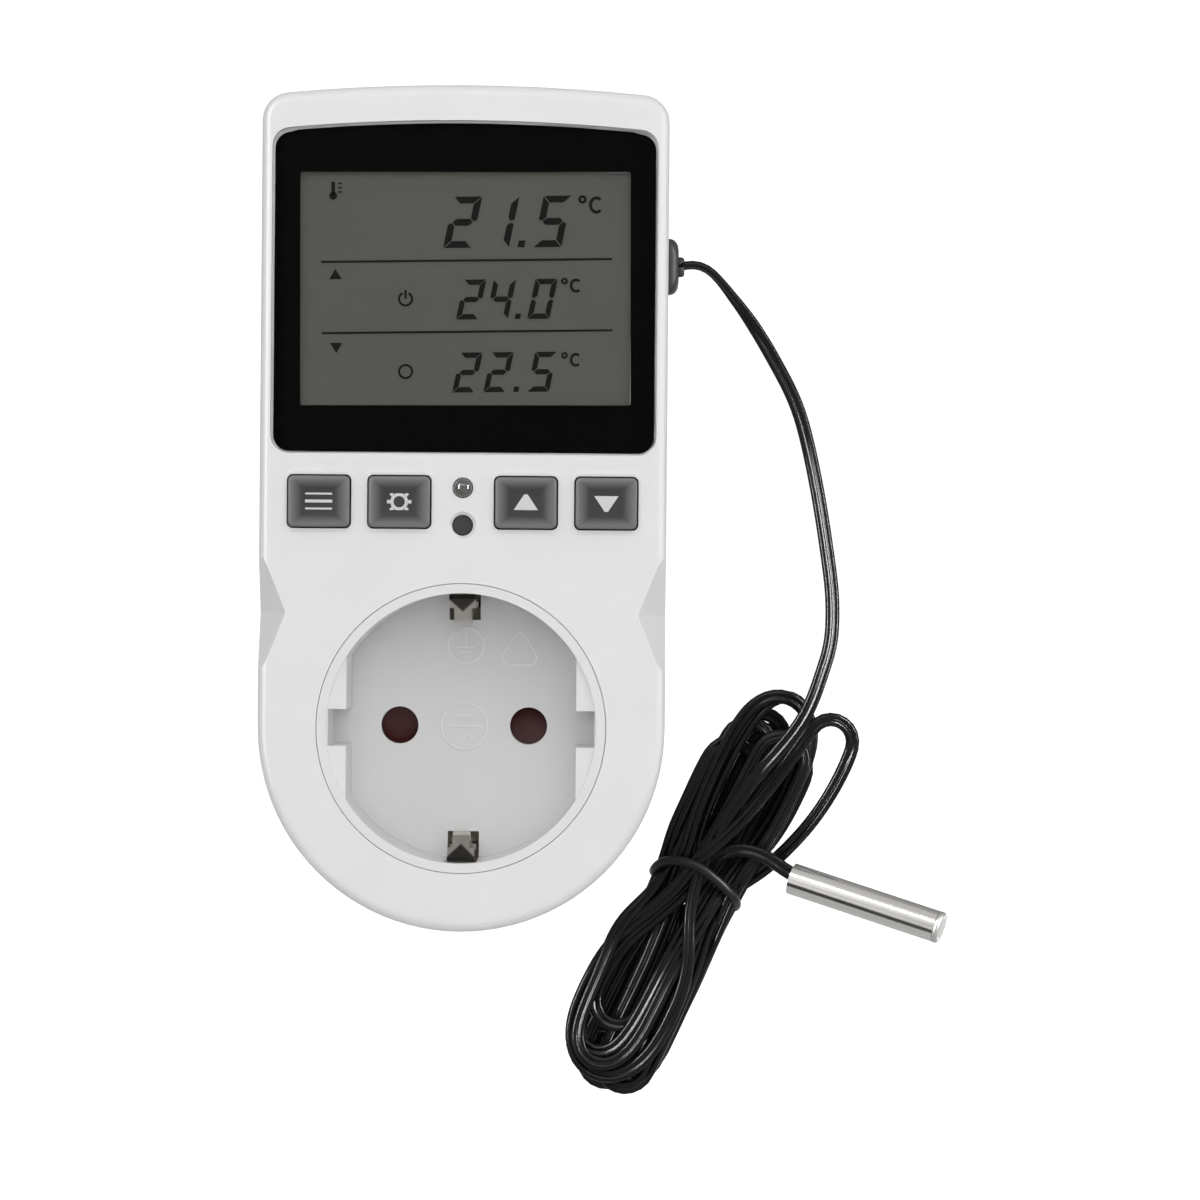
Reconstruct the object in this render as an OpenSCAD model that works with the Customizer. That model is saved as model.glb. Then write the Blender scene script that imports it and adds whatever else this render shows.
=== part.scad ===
// Plug in temperature controller with a wired probe, in millimetres.
// The origin is the centre of the plug's engagement face: +Y points into the wall outlet,
// the socket and the display face -Y, and +Z is up.

/* [Housing] */
// Width of the housing
body_w = 58.8; // [58:0.2:62]
// Height of the crown above the socket axis
crown_z = 92.9; // [92.8:0.1:104]
// Rise of the crown between the sides and the middle
crown_rise = 1.6; // [1:0.1:2.4]
// Depth of the housing without the plug boss
body_depth = 41; // [40:1:48]
// Depth of the front shell, from the front face to the parting line
front_depth = 24; // [23:0.25:24.5]
// Radius of the two upper corners
corner_r = 4; // [3:0.5:6]
// Rounding of the front and back edges
edge_r = 1.6; // [1:0.2:2]
// Wall of the two shells
wall = 2.2; // [2:0.1:2.4]
// Height of a thumb grip along the side
grip_h = 20; // [14:1:22]
// Reach of a thumb grip across the front
grip_in = 4; // [2:0.5:5]
// Reach of a thumb grip along the side wall
grip_back = 6; // [4:0.5:8]
// Height of the thumb grips above the socket axis
grip_z = 16.5; // [14:0.5:18]

/* [Plug] */
// Diameter of the plug boss
boss_d = 37; // [36:0.5:38]
// Length of the plug boss
boss_len = 18; // [17:0.5:22]
// Wall at the boss's engagement face
face_wall = 3; // [2.5:0.25:4]
// Distance between the boss's side flats
boss_flats = 32.4; // [31:0.2:33]
// Height of the guide rib on each flat
rib_h = 4.8; // [4:0.2:5]
// Diameter of a plug pin
pin_d = 4.8; // [4:0.1:5]
// Length of a plug pin past the engagement face
pin_len = 19; // [17:0.5:19]
// Distance between the pins, in the plug and in the socket
pin_pitch = 19; // [18:0.25:20]

/* [Socket] */
// Outer diameter of the socket cup
cup_d = 41.7; // [41.5:0.1:42.5]
// Diameter of the socket recess
recess_d = 39; // [38:0.25:39.5]
// Depth of the socket recess
recess_depth = 17.5; // [16:0.5:17.5]
// Distance between the recess's side flats
recess_flats = 33.2; // [32.5:0.1:35]
// Setback of the flats behind the rim
flat_drop = 1; // [0.5:0.1:3]
// Height of the guide notch in each flat
notch_h = 5.3; // [5:0.1:6.5]
// Thickness of the recess floor
floor_t = 2.5; // [2:0.1:2.7]
// Diameter of a pin hole
pin_hole_d = 5.5; // [5.2:0.1:6]
// Width of an earth slot
slot_w = 4.6; // [4.4:0.1:5.5]
// Width of an earth tongue
tongue_w = 2.5; // [2:0.1:3.2]
// Sheet thickness of the earth parts
earth_t = 0.8; // [0.6:0.05:1]
// Thickness of the shutter
shutter_t = 2.2; // [1.6:0.1:2.4]

/* [Display] */
// Distance of the display window from the housing's sides
window_side = 1.65; // [1.5:0.05:3]
// Height of the display window in its middle
window_h = 48; // [46:0.5:48]
// Height of the window's lower edge above the socket axis
window_z = 39.6; // [39:0.1:39.7]
// Thickness of the display window
window_t = 1.6; // [1.2:0.1:1.7]
// Corner radius of the display window
window_r = 2.6; // [1.5:0.1:3.5]
// Distance of the visible part of the LCD from the window's sides
view_side = 3.75; // [3.5:0.25:5]
// Height of the visible part of the LCD
view_h = 34; // [30:0.5:34.5]
// Thickness of the LCD glass
lcd_t = 2.6; // [2:0.1:3]
// Thickness of both circuit boards
board_t = 1.6; // [1:0.2:1.8]

/* [Keys] */
// Width of a key opening as a share of the housing's width
key_w_share = 0.158; // [0.145:0.001:0.16]
// Height of a key opening
key_h = 7.8; // [7:0.1:8.2]
// Height of the keys above the socket axis
key_z = 32.6; // [31.8:0.1:33]
// Place of the inner keys as a share of the housing's width
key_inner_share = 0.155; // [0.15:0.001:0.16]
// Place of the outer keys as a share of the housing's width
key_outer_share = 0.352; // [0.345:0.001:0.355]
// Height of a key cap above the front face
key_proud = 0.9; // [0.6:0.1:1.4]
// Travel of the keys and the reset button
key_travel = 0.4; // [0.2:0.05:0.5]
// Gap around a key cap
key_gap = 0.2; // [0.15:0.05:0.3]
// Diameter of the status lamp
lamp_d = 2.9; // [2.5:0.1:3.1]
// Height of the status lamp above the socket axis
lamp_z = 34.7; // [34.6:0.1:35]
// Diameter of the reset button
reset_d = 2.7; // [2.3:0.1:2.8]
// Height of the reset button above the socket axis
reset_z = 29.3; // [28.9:0.1:29.4]

/* [Probe cord] */
// Width of the flat twin cord
cord_w = 2.2; // [2:0.05:2.25]
// Thickness of the flat twin cord
cord_t = 1.1; // [0.9:0.05:1.15]
// Height of the cord grommet above the socket axis
grommet_z = 68.4; // [66:0.2:70]
// Height of the grommet's flange
grommet_h = 8.3; // [7:0.1:9]
// Width of the grommet's flange
grommet_w = 5.6; // [5:0.1:7]
// Diameter of the probe tube
probe_d = 4.7; // [4.2:0.1:5.2]
// Length of the probe tube
probe_len = 23.6; // [20:0.2:30]
// Wall of the probe tube
probe_wall = 0.3; // [0.2:0.05:0.5]

/* [Hank] */
// Layers in which the loops are piled
hank_layers = 4; // [2:2:4]
// Length of the hank over the middle of its outer loops
hank_len = 66.4; // [60:0.2:80]
// Half width of the innermost loop at the waist
waist_half = 0.85; // [0.82:0.01:1.2]
// Step from loop to loop at the waist
waist_step = 2.1; // [2.07:0.01:2.2]
// Half width of the innermost loop in the lobes
lobe_half = 3; // [2.8:0.1:3.4]
// Step from loop to loop in the lobes
lobe_step = 2.1; // [2.08:0.01:2.2]
// Step from loop to loop at the two ends
end_step = 2.3; // [2.25:0.01:2.5]
// Step from layer to layer
layer_step = 2.65; // [2.63:0.01:3]
// Distance of the waist above the middle of the hank
waist_up = 1.8; // [0:0.1:3]
// Height over which the waist opens into a lobe
waist_reach = 16; // [14:0.5:18]
// Lean of the hank from upright, in degrees
hank_lean = 25; // [20:1:30]
// Diameter of the tie around the waist
tie_d = 1.3; // [1:0.1:1.6]

/* [Hidden] */
$fn = 64;

// Overrun of every cut past the face that it opens
over = 1;
// Clearance of a seated piece, and of a piece that turns or slides
seat_gap = 0.1;
run_gap = 0.05;

// Depths along Y, from the engagement face forward
back_y = -boss_len;
front_y = back_y - body_depth;
split_y = front_y + front_depth;
inner_front_y = front_y + wall;
inner_back_y = back_y - wall;
body_r = body_w / 2;
window_w = body_w - 2 * window_side;
view_w = window_w - 2 * view_side;
inner_r = body_r - wall;

// Geometry helpers

function arc(cx, cz, r, a0, a1, steps) =
    [for (i = [0:steps]) let (a = a0 + (a1 - a0) * i / steps) [cx + r * cos(a), cz + r * sin(a)]];

function inner_part(points) = [for (i = [1:len(points) - 2]) points[i]];

// An upright outline with a bowed top, moved inwards by inset with every arc kept concentric
foot_steps = 24;
corner_steps = 6;
crown_steps = 10;

function bowed_outline(half, low_z, top_z, rise, top_r, low_r, inset) =
    let (bow_r = (half * half + rise * rise) / (2 * rise), bow_z = top_z - bow_r,
        cx = half - top_r, cz = bow_z + sqrt(pow(bow_r - top_r, 2) - cx * cx),
        end = atan2(cz - bow_z, cx), fx = half - low_r, fz = low_z + low_r,
        top_steps = corner_steps, low_steps = low_r < half ? corner_steps : foot_steps,
        right_foot = arc(fx, fz, low_r - inset, 270, 360, low_steps))
    concat(
        arc(cx, cz, top_r - inset, 0, end, top_steps),
        inner_part(arc(0, bow_z, bow_r - inset, end, 180 - end, crown_steps)),
        arc(-cx, cz, top_r - inset, 180 - end, 180, top_steps),
        arc(-fx, fz, low_r - inset, 180, 270, low_steps),
        [for (i = [(low_r < half ? 0 : 1):low_steps]) right_foot[i]]);

// The housing's outline: a half round foot, straight sides, two corners and the crown
function body_outline(inset) =
    bowed_outline(body_r, -body_r, crown_z, crown_rise, corner_r, body_r, inset);

// The window's outline, bowed alike
window_bow = crown_rise * pow(window_w / body_w, 2);
function window_outline(inset) =
    bowed_outline(window_w / 2, window_z, window_z + window_h, window_bow, window_r, window_r, inset);

// A closed solid through rings that all have as many points
module skin(rings, closed = false) {
    n = len(rings[0]);
    m = len(rings);
    spans = closed ? m : m - 1;
    sides = [for (i = [0:spans - 1]) for (j = [0:n - 1])
        let (a = i * n + j, b = i * n + (j + 1) % n, c = ((i + 1) % m) * n + j,
            d = ((i + 1) % m) * n + (j + 1) % n)
        each [[a, d, c], [a, b, d]]];
    lids = closed ? [] : [[for (j = [n - 1:-1:0]) j], [for (j = [0:n - 1]) (m - 1) * n + j]];
    polyhedron(points = [for (ring = rings) each ring], faces = concat(sides, lids), convexity = 8);
}

// A plate between two depths whose outline is drawn in X and Z
module slab(y0, y1) {
    translate([0, y1, 0]) rotate([90, 0, 0]) linear_extrude(y1 - y0) children();
}

// A round bar between two depths
module rod(y0, y1, r) {
    translate([0, y0, 0]) rotate([-90, 0, 0]) cylinder(h = y1 - y0, r = r);
}

// A sheet of a given width across X whose side view is drawn in Y and Z
module across_x(width) {
    translate([-width / 2, 0, 0]) rotate([90, 0, 90]) linear_extrude(width) children();
}

// The side view of a bent strip of sheet: a path with half the thickness to either side
function bent(path, t) =
    let (n = len(path), side = [for (i = [0:n - 1])
        let (d = path[min(i + 1, n - 1)] - path[max(i - 1, 0)], l = norm(d)) [-d[1] / l, d[0] / l]])
    concat([for (i = [0:n - 1]) path[i] + side[i] * t / 2],
        [for (i = [n - 1:-1:0]) path[i] - side[i] * t / 2]);

module round_rect(w, h, r) {
    square([w - 2 * r, h], center = true);
    square([w, h - 2 * r], center = true);
    for (x = [-1, 1]) for (z = [-1, 1]) translate([x * (w / 2 - r), z * (h / 2 - r)]) circle(r);
}

// The same shape on both sides of the middle, and above and below the socket axis
module both_sides() {
    children();
    mirror([1, 0, 0]) children();
}

module above_and_below() {
    children();
    mirror([0, 0, 1]) children();
}

module at(place) {
    translate([place[0], 0, place[1]]) children();
}

// Fixings

screw_d = 2.9;
screw_head_d = 5.2;
screw_head_t = 1.8;
screw_sink = 3;
screw_bite = 9;
post_wall = 1.35;
post_blend = 0.4;
post_r = screw_d / 2 + post_wall;
head_post_r = screw_head_d / 2 + seat_gap + post_wall;
crown_screw_inset = 7;
crown_screw_drop = 5.6;
foot_screw_angle = 40;
foot_screw_r = inner_r - post_r + post_blend;
screw_places = [for (side = [1, -1]) each [
    [side * (body_r - crown_screw_inset), crown_z - crown_screw_drop],
    [side * foot_screw_r * cos(foot_screw_angle), -foot_screw_r * sin(foot_screw_angle)]]];

board_screw_d = 1.8;
board_screw_head_d = 3.2;
board_screw_head_t = 1;
board_post_wall = 0.55;
board_post_r = board_screw_d / 2 + board_post_wall;
board_screw_bite = 4;
power_screw_past = 2.5;

// Display stack

window_proud = 0.1;
window_back_y = front_y - window_proud + window_t;
view_z = window_z + window_h / 2 - window_proud;
lcd_edge_x = 1.8;
lcd_edge_z = 1.5;
lcd_w = view_w + 2 * lcd_edge_x;
lcd_h = view_h + 2 * lcd_edge_z;
lcd_front_y = inner_front_y + seat_gap;
lcd_back_y = lcd_front_y + lcd_t;
display_depth = 8.5;
display_front_y = front_y + display_depth;
display_back_y = display_front_y + board_t;
frame_rim = 0.6;
frame_lip_x = 2.4;
frame_lip_z = 0.8;
zebra_h = 1.8;
board_side_gap = 0.6;
board_top_gap = 0.4;
board_foot_gap = 4.3;
board_half = inner_r - board_side_gap;
board_top_z = crown_z - crown_screw_drop - post_r - board_top_gap;
board_foot_z = cup_d / 2 + board_foot_gap;
side_screw_x = board_half - board_post_r - frame_rim;
side_screw_z = view_z - lcd_h / 2 - frame_rim - board_post_r - board_side_gap * 2;
top_screw_z = view_z + lcd_h / 2 + frame_rim + board_post_r + seat_gap;
display_screw_places = [[-side_screw_x, side_screw_z], [side_screw_x, side_screw_z],
    [0, top_screw_z]];
board_tab_half = 8;
board_tab_z = top_screw_z + board_post_r + board_side_gap;
chip_r = 6;
chip_t = 1;

// Keys and their switches

key_w = body_w * key_w_share;
key_inner_x = body_w * key_inner_share;
key_outer_x = body_w * key_outer_share;
key_corner_r = 0.9;
rim_w = 0.45;
rim_h = 0.25;
flange_w = 0.6;
flange_t = 0.8;
flange_gap = 0.1;
stem_r = 1.6;
switch_w = 6;
switch_h = 3.4;
plunger_r = 1.7;
plunger_rise = 0.8;
plunger_sink = 1.2;
switch_front_y = display_front_y - switch_h;
plunger_front_y = switch_front_y - plunger_rise;
key_flange_y = inner_front_y + flange_gap;
reset_sunk = 0.3;
reset_gap = 0.15;
reset_chamfer = 0.5;
reset_flange_r = 2.2;
lamp_gap = 0.05;
lamp_flange_r = 1.85;
lamp_flange_t = 0.8;
lamp_stand = 3;
lamp_leg = 0.5;
lamp_leg_x = 0.8;
lamp_proud = 1.1;
key_places = [[-key_outer_x, key_z], [-key_inner_x, key_z], [key_inner_x, key_z],
    [key_outer_x, key_z]];
reset_place = [0, reset_z];

// Socket

pin_x = pin_pitch / 2;
cup_r = cup_d / 2;
recess_r = recess_d / 2;
floor_y = front_y + recess_depth;
floor_back_y = floor_y + floor_t;
notch_wall = 0.25;
cup_wall = 1.6;
cup_collar = 1.2;
cup_collar_t = 1.2;
shutter_front_gap = 0.3;
spring_room = 1.4;
shutter_front_y = floor_back_y + shutter_front_gap;
shutter_back_y = shutter_front_y + shutter_t;
base_front_y = shutter_back_y + spring_room;
base_t = 2.5;
base_back_y = base_front_y + base_t;
pivot_r = 2;
shutter_hub_r = 4.2;
shutter_r = 13.4;
shutter_half_angle = 20;
ramp_angle = 10;
spring_wire = 0.35;
spring_r = 3.1;
spring_turns = 2;
spring_pitch = 0.45;
base_hole_gap = 0.6;
earth_slot_in = 3.9;
earth_slot_out = 0.8;
slot_front = 2.2;

// Earth path: two tongues in the cup, a strap behind the base, two strips on the boss
arm_w = 3.9;
arm_in = 1.6;
arm_z = recess_r - arm_in;
earth_strap_y = base_back_y + earth_t / 2;
tongue_crest_in = 4.3;
tongue_tip_out = 0.1;
strip_w = 5.5;
strip_gap = 0.1;
strip_sag = 0.35;
strip_inset = 1.5;
strip_len = 14;
boss_r = boss_d / 2;
boss_wall = 2.3;
channel_t = 1.2;
channel_w = strip_w + 2 * seat_gap;
boss_bore_r = boss_r - channel_t - boss_wall;
boss_bore_x = boss_flats / 2 - boss_wall;
boss_flat_len = 15;
strip_z = boss_r - channel_t + strip_gap + earth_t / 2;
strip_inner_z = boss_bore_r - strip_sag - earth_t;
strip_turn_y = -strip_inset - strip_len;

// Contacts
pin_r = pin_d / 2;
pin_tip_r = 1.8;
pin_root_r = pin_r - 0.2;
face_mouth = 0.4;
head_r = 3.2;
head_t = 1.5;
barrel_wall = 0.8;
barrel_r = pin_r + run_gap + barrel_wall;
barrel_slit = 1;
contact_t = 0.8;
contact_w = 5;
tail_w = 4;
link_r = 2;
pin_reach_y = floor_y + pin_len;

// Power board and what stands on it
power_back_y = inner_back_y - 2;
power_front_y = power_back_y - board_t;
power_half = board_half - board_top_gap;
power_top_z = board_top_z - head_post_r + post_r - seat_gap;
relay_share = 0.7;
film_share = 0.66;
power_screw_x = power_half - 3.2;
power_screw_z = [board_foot_z + 4, power_top_z - 4];
standoff_r = 2.2;
tab_y = power_back_y;
line_strip_y = tab_y + contact_t + 0.2;
relay_reach = 15.5;
relay_h = 15;
film_reach = 14.5;
film_h = 8.5;
relay_size = [power_half * relay_share, relay_reach, relay_h];
film_size = [power_half * film_share, film_reach, film_h];
smoothing_r = 4;
smoothing_len = 12;
varistor_r = 4;
varistor_t = 4;

// Housing

edge_steps = 6;
grip_wall = 1.5;

// The solid form of a shell, rounded at its closed end
module shell_form(closed_y, open_y) {
    toward = sign(open_y - closed_y);
    rounded = [for (i = [0:edge_steps]) let (a = 90 * i / edge_steps)
        [for (p = body_outline(edge_r * (1 - sin(a))))
            [p[0], closed_y + toward * edge_r * (1 - cos(a)), p[1]]]];
    rings = concat(rounded, [[for (p = body_outline(0)) [p[0], open_y, p[1]]]]);
    skin(toward > 0 ? rings : [for (i = [len(rings) - 1:-1:0]) rings[i]]);
}

grip_depth = 1 / norm([1 / grip_in, 2 / grip_h, 1 / grip_back]);

// A V of two flat facets that takes the front edge away where a thumb holds the housing,
// sunk deeper by a given amount
module thumb_grip(deeper) {
    grow = 1 + deeper / grip_depth;
    reach = grip_in * grow;
    half = grip_h / 2 * grow;
    back = grip_back * grow;
    side = half * (1 + over / reach + over / back);
    polyhedron(points = [
            [body_r + over, front_y - over, grip_z - side],
            [body_r - reach * (1 + over / back), front_y - over, grip_z],
            [body_r + over, front_y - over, grip_z + side],
            [body_r + over, front_y + back * (1 + over / reach), grip_z]],
        faces = [[0, 1, 2], [0, 3, 1], [1, 3, 2], [0, 2, 3]]);
}

module screw_posts(y0, y1, r) {
    for (place = screw_places) at(place) rod(y0, y1, r);
}

module grommet_notch() {
    reach = grommet_w / 2 - flange_w + seat_gap;
    rise = grommet_h / 2 - flange_w + seat_gap;
    translate([inner_r - over, split_y - reach, grommet_z - rise])
        cube([wall + 2 * over, 2 * reach, 2 * rise]);
}

module front_shell() {
    color("whitesmoke") difference() {
        union() {
            difference() {
                shell_form(front_y, split_y);
                difference() {
                    slab(inner_front_y, split_y + over) polygon(body_outline(wall));
                    both_sides() thumb_grip(grip_wall);
                }
                both_sides() thumb_grip(0);
            }
            intersection() {
                screw_posts(inner_front_y - seat_gap, split_y, post_r);
                slab(front_y + edge_r, split_y) polygon(body_outline(seat_gap));
            }
            for (place = display_screw_places) at(place)
                rod(inner_front_y - seat_gap, display_front_y, board_post_r);
            for (place = key_places) at(place) slab(front_y - rim_h, front_y + rim_h)
                round_rect(key_w + 2 * rim_w, key_h + 2 * rim_w, key_corner_r + rim_w);
        }
        slab(front_y - over, window_back_y) polygon(window_outline(-seat_gap));
        slab(window_back_y - over, inner_front_y + over)
            translate([0, view_z]) square([view_w, view_h], center = true);
        for (place = key_places) at(place)
            slab(front_y - over, inner_front_y + over) round_rect(key_w, key_h, key_corner_r);
        at(reset_place) {
            rod(front_y - over, inner_front_y + over, reset_d / 2 + reset_gap);
            rotate([-90, 0, 0]) translate([0, 0, front_y - reset_chamfer])
                cylinder(h = 2 * reset_chamfer, r1 = reset_d / 2 + reset_gap + 2 * reset_chamfer,
                    r2 = reset_d / 2 + reset_gap);
        }
        at([0, lamp_z]) rod(front_y - over, inner_front_y + over, lamp_d / 2 + lamp_gap);
        rod(front_y - over, inner_front_y + over, cup_r + seat_gap);
        screw_posts(split_y - screw_bite - over, split_y + over, screw_d / 2 + run_gap);
        for (place = display_screw_places) at(place)
            rod(display_front_y - board_screw_bite, display_front_y + over,
                board_screw_d / 2 + run_gap);
        grommet_notch();
    }
}

lip_t = 1;
lip_h = 1.5;
lip_root = 3;

// The rear shell's lip, which enters the front shell, left out at the posts and the grommet
module lip() {
    difference() {
        union() {
            slab(split_y - lip_h, split_y + seat_gap) polygon(body_outline(wall + seat_gap));
            slab(split_y, split_y + lip_root) polygon(body_outline(wall - seat_gap));
        }
        slab(split_y - lip_h - over, split_y + lip_root + over)
            polygon(body_outline(wall + seat_gap + lip_t));
        screw_posts(split_y - lip_h - over, split_y, post_r + seat_gap);
        translate([inner_r - grommet_flange_t - over, split_y - grommet_w / 2 - seat_gap,
                grommet_z - grommet_h / 2 - seat_gap])
            cube([grommet_flange_t + over, grommet_w + 2 * seat_gap, grommet_h + 2 * seat_gap]);
    }
}

// The plug boss's section: round, with a flat and a guide rib on either side
module boss_section() {
    difference() {
        circle(boss_r);
        both_sides() translate([boss_flats / 2, -boss_r])
            square([boss_r, 2 * boss_r]);
    }
    intersection() {
        circle(boss_r);
        square([boss_d, rib_h], center = true);
    }
}

module rear_shell() {
    color("whitesmoke") difference() {
        union() {
            difference() {
                shell_form(back_y, split_y);
                slab(split_y - over, inner_back_y) polygon(body_outline(wall));
            }
            lip();
            rod(inner_back_y, -boss_flat_len, boss_r);
            slab(-boss_flat_len - seat_gap, 0) boss_section();
            intersection() {
                union() {
                    screw_posts(split_y, inner_back_y + seat_gap, post_r);
                    screw_posts(back_y - screw_sink - post_wall, inner_back_y + seat_gap, head_post_r);
                }
                slab(split_y, back_y - edge_r) polygon(body_outline(seat_gap));
            }
            for (x = [-1, 1]) for (z = power_screw_z)
                at([x * power_screw_x, z]) rod(power_back_y, inner_back_y + seat_gap, standoff_r);
            for (a = clamp_post_angles) at([clamp_post_at * cos(a), clamp_post_at * sin(a)])
                rod(base_back_y, inner_back_y + seat_gap, clamp_post_r);
        }
        intersection() {
            rod(inner_back_y - over, -face_wall, boss_bore_r);
            translate([-boss_bore_x, inner_back_y - over, -boss_bore_r])
                cube([2 * boss_bore_x, boss_len + over + wall, 2 * boss_bore_r]);
        }
        both_sides() at([pin_x, 0]) {
            rod(-face_wall - over, over, pin_root_r + run_gap);
            rod(-face_mouth, over, pin_r + run_gap);
        }
        above_and_below() {
            translate([-channel_w / 2, strip_turn_y - seat_gap, boss_r - channel_t])
                cube([channel_w, strip_len + strip_inset + over + seat_gap, channel_t + over]);
            translate([-channel_w / 2, strip_turn_y - seat_gap, boss_bore_r - over])
                cube([channel_w, earth_t + 2 * seat_gap, boss_wall + channel_t]);
        }
        screw_posts(split_y - lip_h - over, back_y + over, screw_d / 2 + seat_gap);
        screw_posts(back_y - screw_sink, back_y + over, screw_head_d / 2 + seat_gap);
        for (x = [-1, 1]) for (z = power_screw_z) at([x * power_screw_x, z])
            rod(power_back_y - over, power_back_y + 2 + wall / 2, board_screw_d / 2 + run_gap);
        grommet_notch();
    }
}

clamp_post_r = 1.8;
clamp_post_at = cup_r - clamp_post_r - seat_gap;
clamp_post_angles = [75, 105, -40, -140];

module housing_screws() {
    color("silver") for (place = screw_places) at(place) {
        rod(back_y - screw_sink, back_y - screw_sink + screw_head_t, screw_head_d / 2);
        rod(split_y - screw_bite, back_y - screw_sink, screw_d / 2);
    }
}

module cord_grommet() {
    color("dimgray") for (part = [[inner_r - grommet_flange_t, inner_r, 0], [inner_r, body_r, flange_w],
            [body_r, body_r + grommet_proud, 0]])
        translate([part[0], split_y, grommet_z]) rotate([90, 0, 90]) linear_extrude(part[1] - part[0])
            round_rect(grommet_w - 2 * part[2], grommet_h - 2 * part[2], grommet_corner_r - part[2]);
}

grommet_proud = 1.8;
grommet_flange_t = 1.2;
grommet_corner_r = 2.4;

// Display

module display_window() {
    color("black") slab(front_y - window_proud, window_back_y) polygon(window_outline(0));
}

module lcd_glass() {
    color("gray") slab(lcd_front_y, lcd_back_y)
        translate([0, view_z]) square([lcd_w, lcd_h], center = true);
}

module lcd_frame() {
    color("white") difference() {
        slab(lcd_front_y + lcd_t / 2, display_front_y)
            translate([0, view_z]) square([lcd_w + 2 * frame_rim, lcd_h + 2 * frame_rim], center = true);
        slab(lcd_front_y, lcd_back_y) translate([0, view_z])
            square([lcd_w + seat_gap, lcd_h + seat_gap], center = true);
        slab(lcd_front_y, display_front_y + over) translate([0, view_z])
            square([lcd_w - 2 * frame_lip_x, lcd_h - 2 * frame_lip_z], center = true);
    }
}

module zebra_strips() {
    color("pink") for (end = [-1, 1]) slab(lcd_back_y, display_front_y)
        translate([0, view_z + end * (lcd_h / 2 - frame_lip_z - zebra_h / 2 - seat_gap)])
            square([lcd_w - 2 * frame_lip_x - 2 * seat_gap, zebra_h], center = true);
}

module display_board() {
    color("green") difference() {
        slab(display_front_y, display_back_y) {
            translate([-board_half, board_foot_z])
                square([2 * board_half, board_top_z - board_foot_z]);
            translate([-board_tab_half, board_foot_z])
                square([2 * board_tab_half, board_tab_z - board_foot_z]);
        }
        for (place = display_screw_places) at(place)
            rod(display_front_y - over, display_back_y + over, board_screw_d / 2 + seat_gap);
    }
}

module controller_chip() {
    color("black") at([0, view_z]) translate([0, display_back_y, 0]) rotate([-90, 0, 0])
        cylinder(h = chip_t, r1 = chip_r, r2 = chip_r - chip_t);
}

// A pan head screw whose head bears on the face at seat_y and points along +Y
module board_screw(seat_y, bite) {
    rod(seat_y, seat_y + board_screw_head_t, board_screw_head_d / 2);
    rod(seat_y - bite, seat_y, board_screw_d / 2);
}

module display_screws() {
    color("silver") for (place = display_screw_places) at(place)
        board_screw(display_back_y, board_t + board_screw_bite - seat_gap);
}

module tact_switches() {
    color("dimgray") for (place = concat(key_places, [reset_place])) at(place) difference() {
        slab(switch_front_y, display_front_y) square(switch_w, center = true);
        rod(switch_front_y - over, switch_front_y + plunger_sink + key_travel + seat_gap,
            plunger_r + run_gap);
    }
}

module plunger(place) {
    color("black") at(place) rod(plunger_front_y, switch_front_y + plunger_sink, plunger_r);
}

module mode_plunger() { plunger(key_places[0]); }
module set_plunger() { plunger(key_places[1]); }
module up_plunger() { plunger(key_places[2]); }
module down_plunger() { plunger(key_places[3]); }
module reset_plunger() { plunger(reset_place); }

key_crown_steps = 4;
key_edge_r = 0.5;

// A key: a cap with a rounded front edge, a flange behind the front wall and a stem
module key(place) {
    w = key_w - 2 * key_gap;
    h = key_h - 2 * key_gap;
    cap_y = front_y - key_proud;
    color("dimgray") at(place) {
        hull($fn = 24) for (i = [0:key_crown_steps]) let (a = 90 * i / key_crown_steps,
                inset = key_edge_r * (1 - sin(a)), y = cap_y + key_edge_r * (1 - cos(a)))
            slab(y, key_flange_y) round_rect(w - 2 * inset, h - 2 * inset, key_corner_r - key_gap);
        slab(key_flange_y, key_flange_y + flange_t)
            round_rect(key_w + 2 * flange_w, key_h + 2 * flange_w, key_corner_r);
        rod(key_flange_y + flange_t, plunger_front_y, stem_r);
    }
}

module mode_key() { key(key_places[0]); }
module set_key() { key(key_places[1]); }
module up_key() { key(key_places[2]); }
module down_key() { key(key_places[3]); }

module reset_button() {
    color("black") at(reset_place) {
        rod(front_y + reset_sunk, key_flange_y, reset_d / 2);
        rod(key_flange_y, key_flange_y + flange_t, reset_flange_r);
        rod(key_flange_y + flange_t, plunger_front_y, stem_r - flange_gap);
    }
}

module status_lamp() {
    color("gray") at([0, lamp_z]) {
        rod(front_y - lamp_proud + lamp_d / 2, display_front_y - lamp_stand, lamp_d / 2);
        translate([0, front_y - lamp_proud + lamp_d / 2, 0]) sphere(lamp_d / 2);
        rod(display_front_y - lamp_stand - lamp_flange_t, display_front_y - lamp_stand, lamp_flange_r);
        both_sides() translate([lamp_leg_x, display_front_y - lamp_stand, 0])
            rotate([-90, 0, 0]) linear_extrude(lamp_stand) square(lamp_leg, center = true);
    }
}

link_w = 14;
link_t = 2.5;
link_rise = 3;

module board_link() {
    color("ivory") translate([-link_w / 2, display_back_y, board_foot_z + link_rise])
        cube([link_w, power_front_y - display_back_y, link_t]);
}

// Socket

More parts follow.
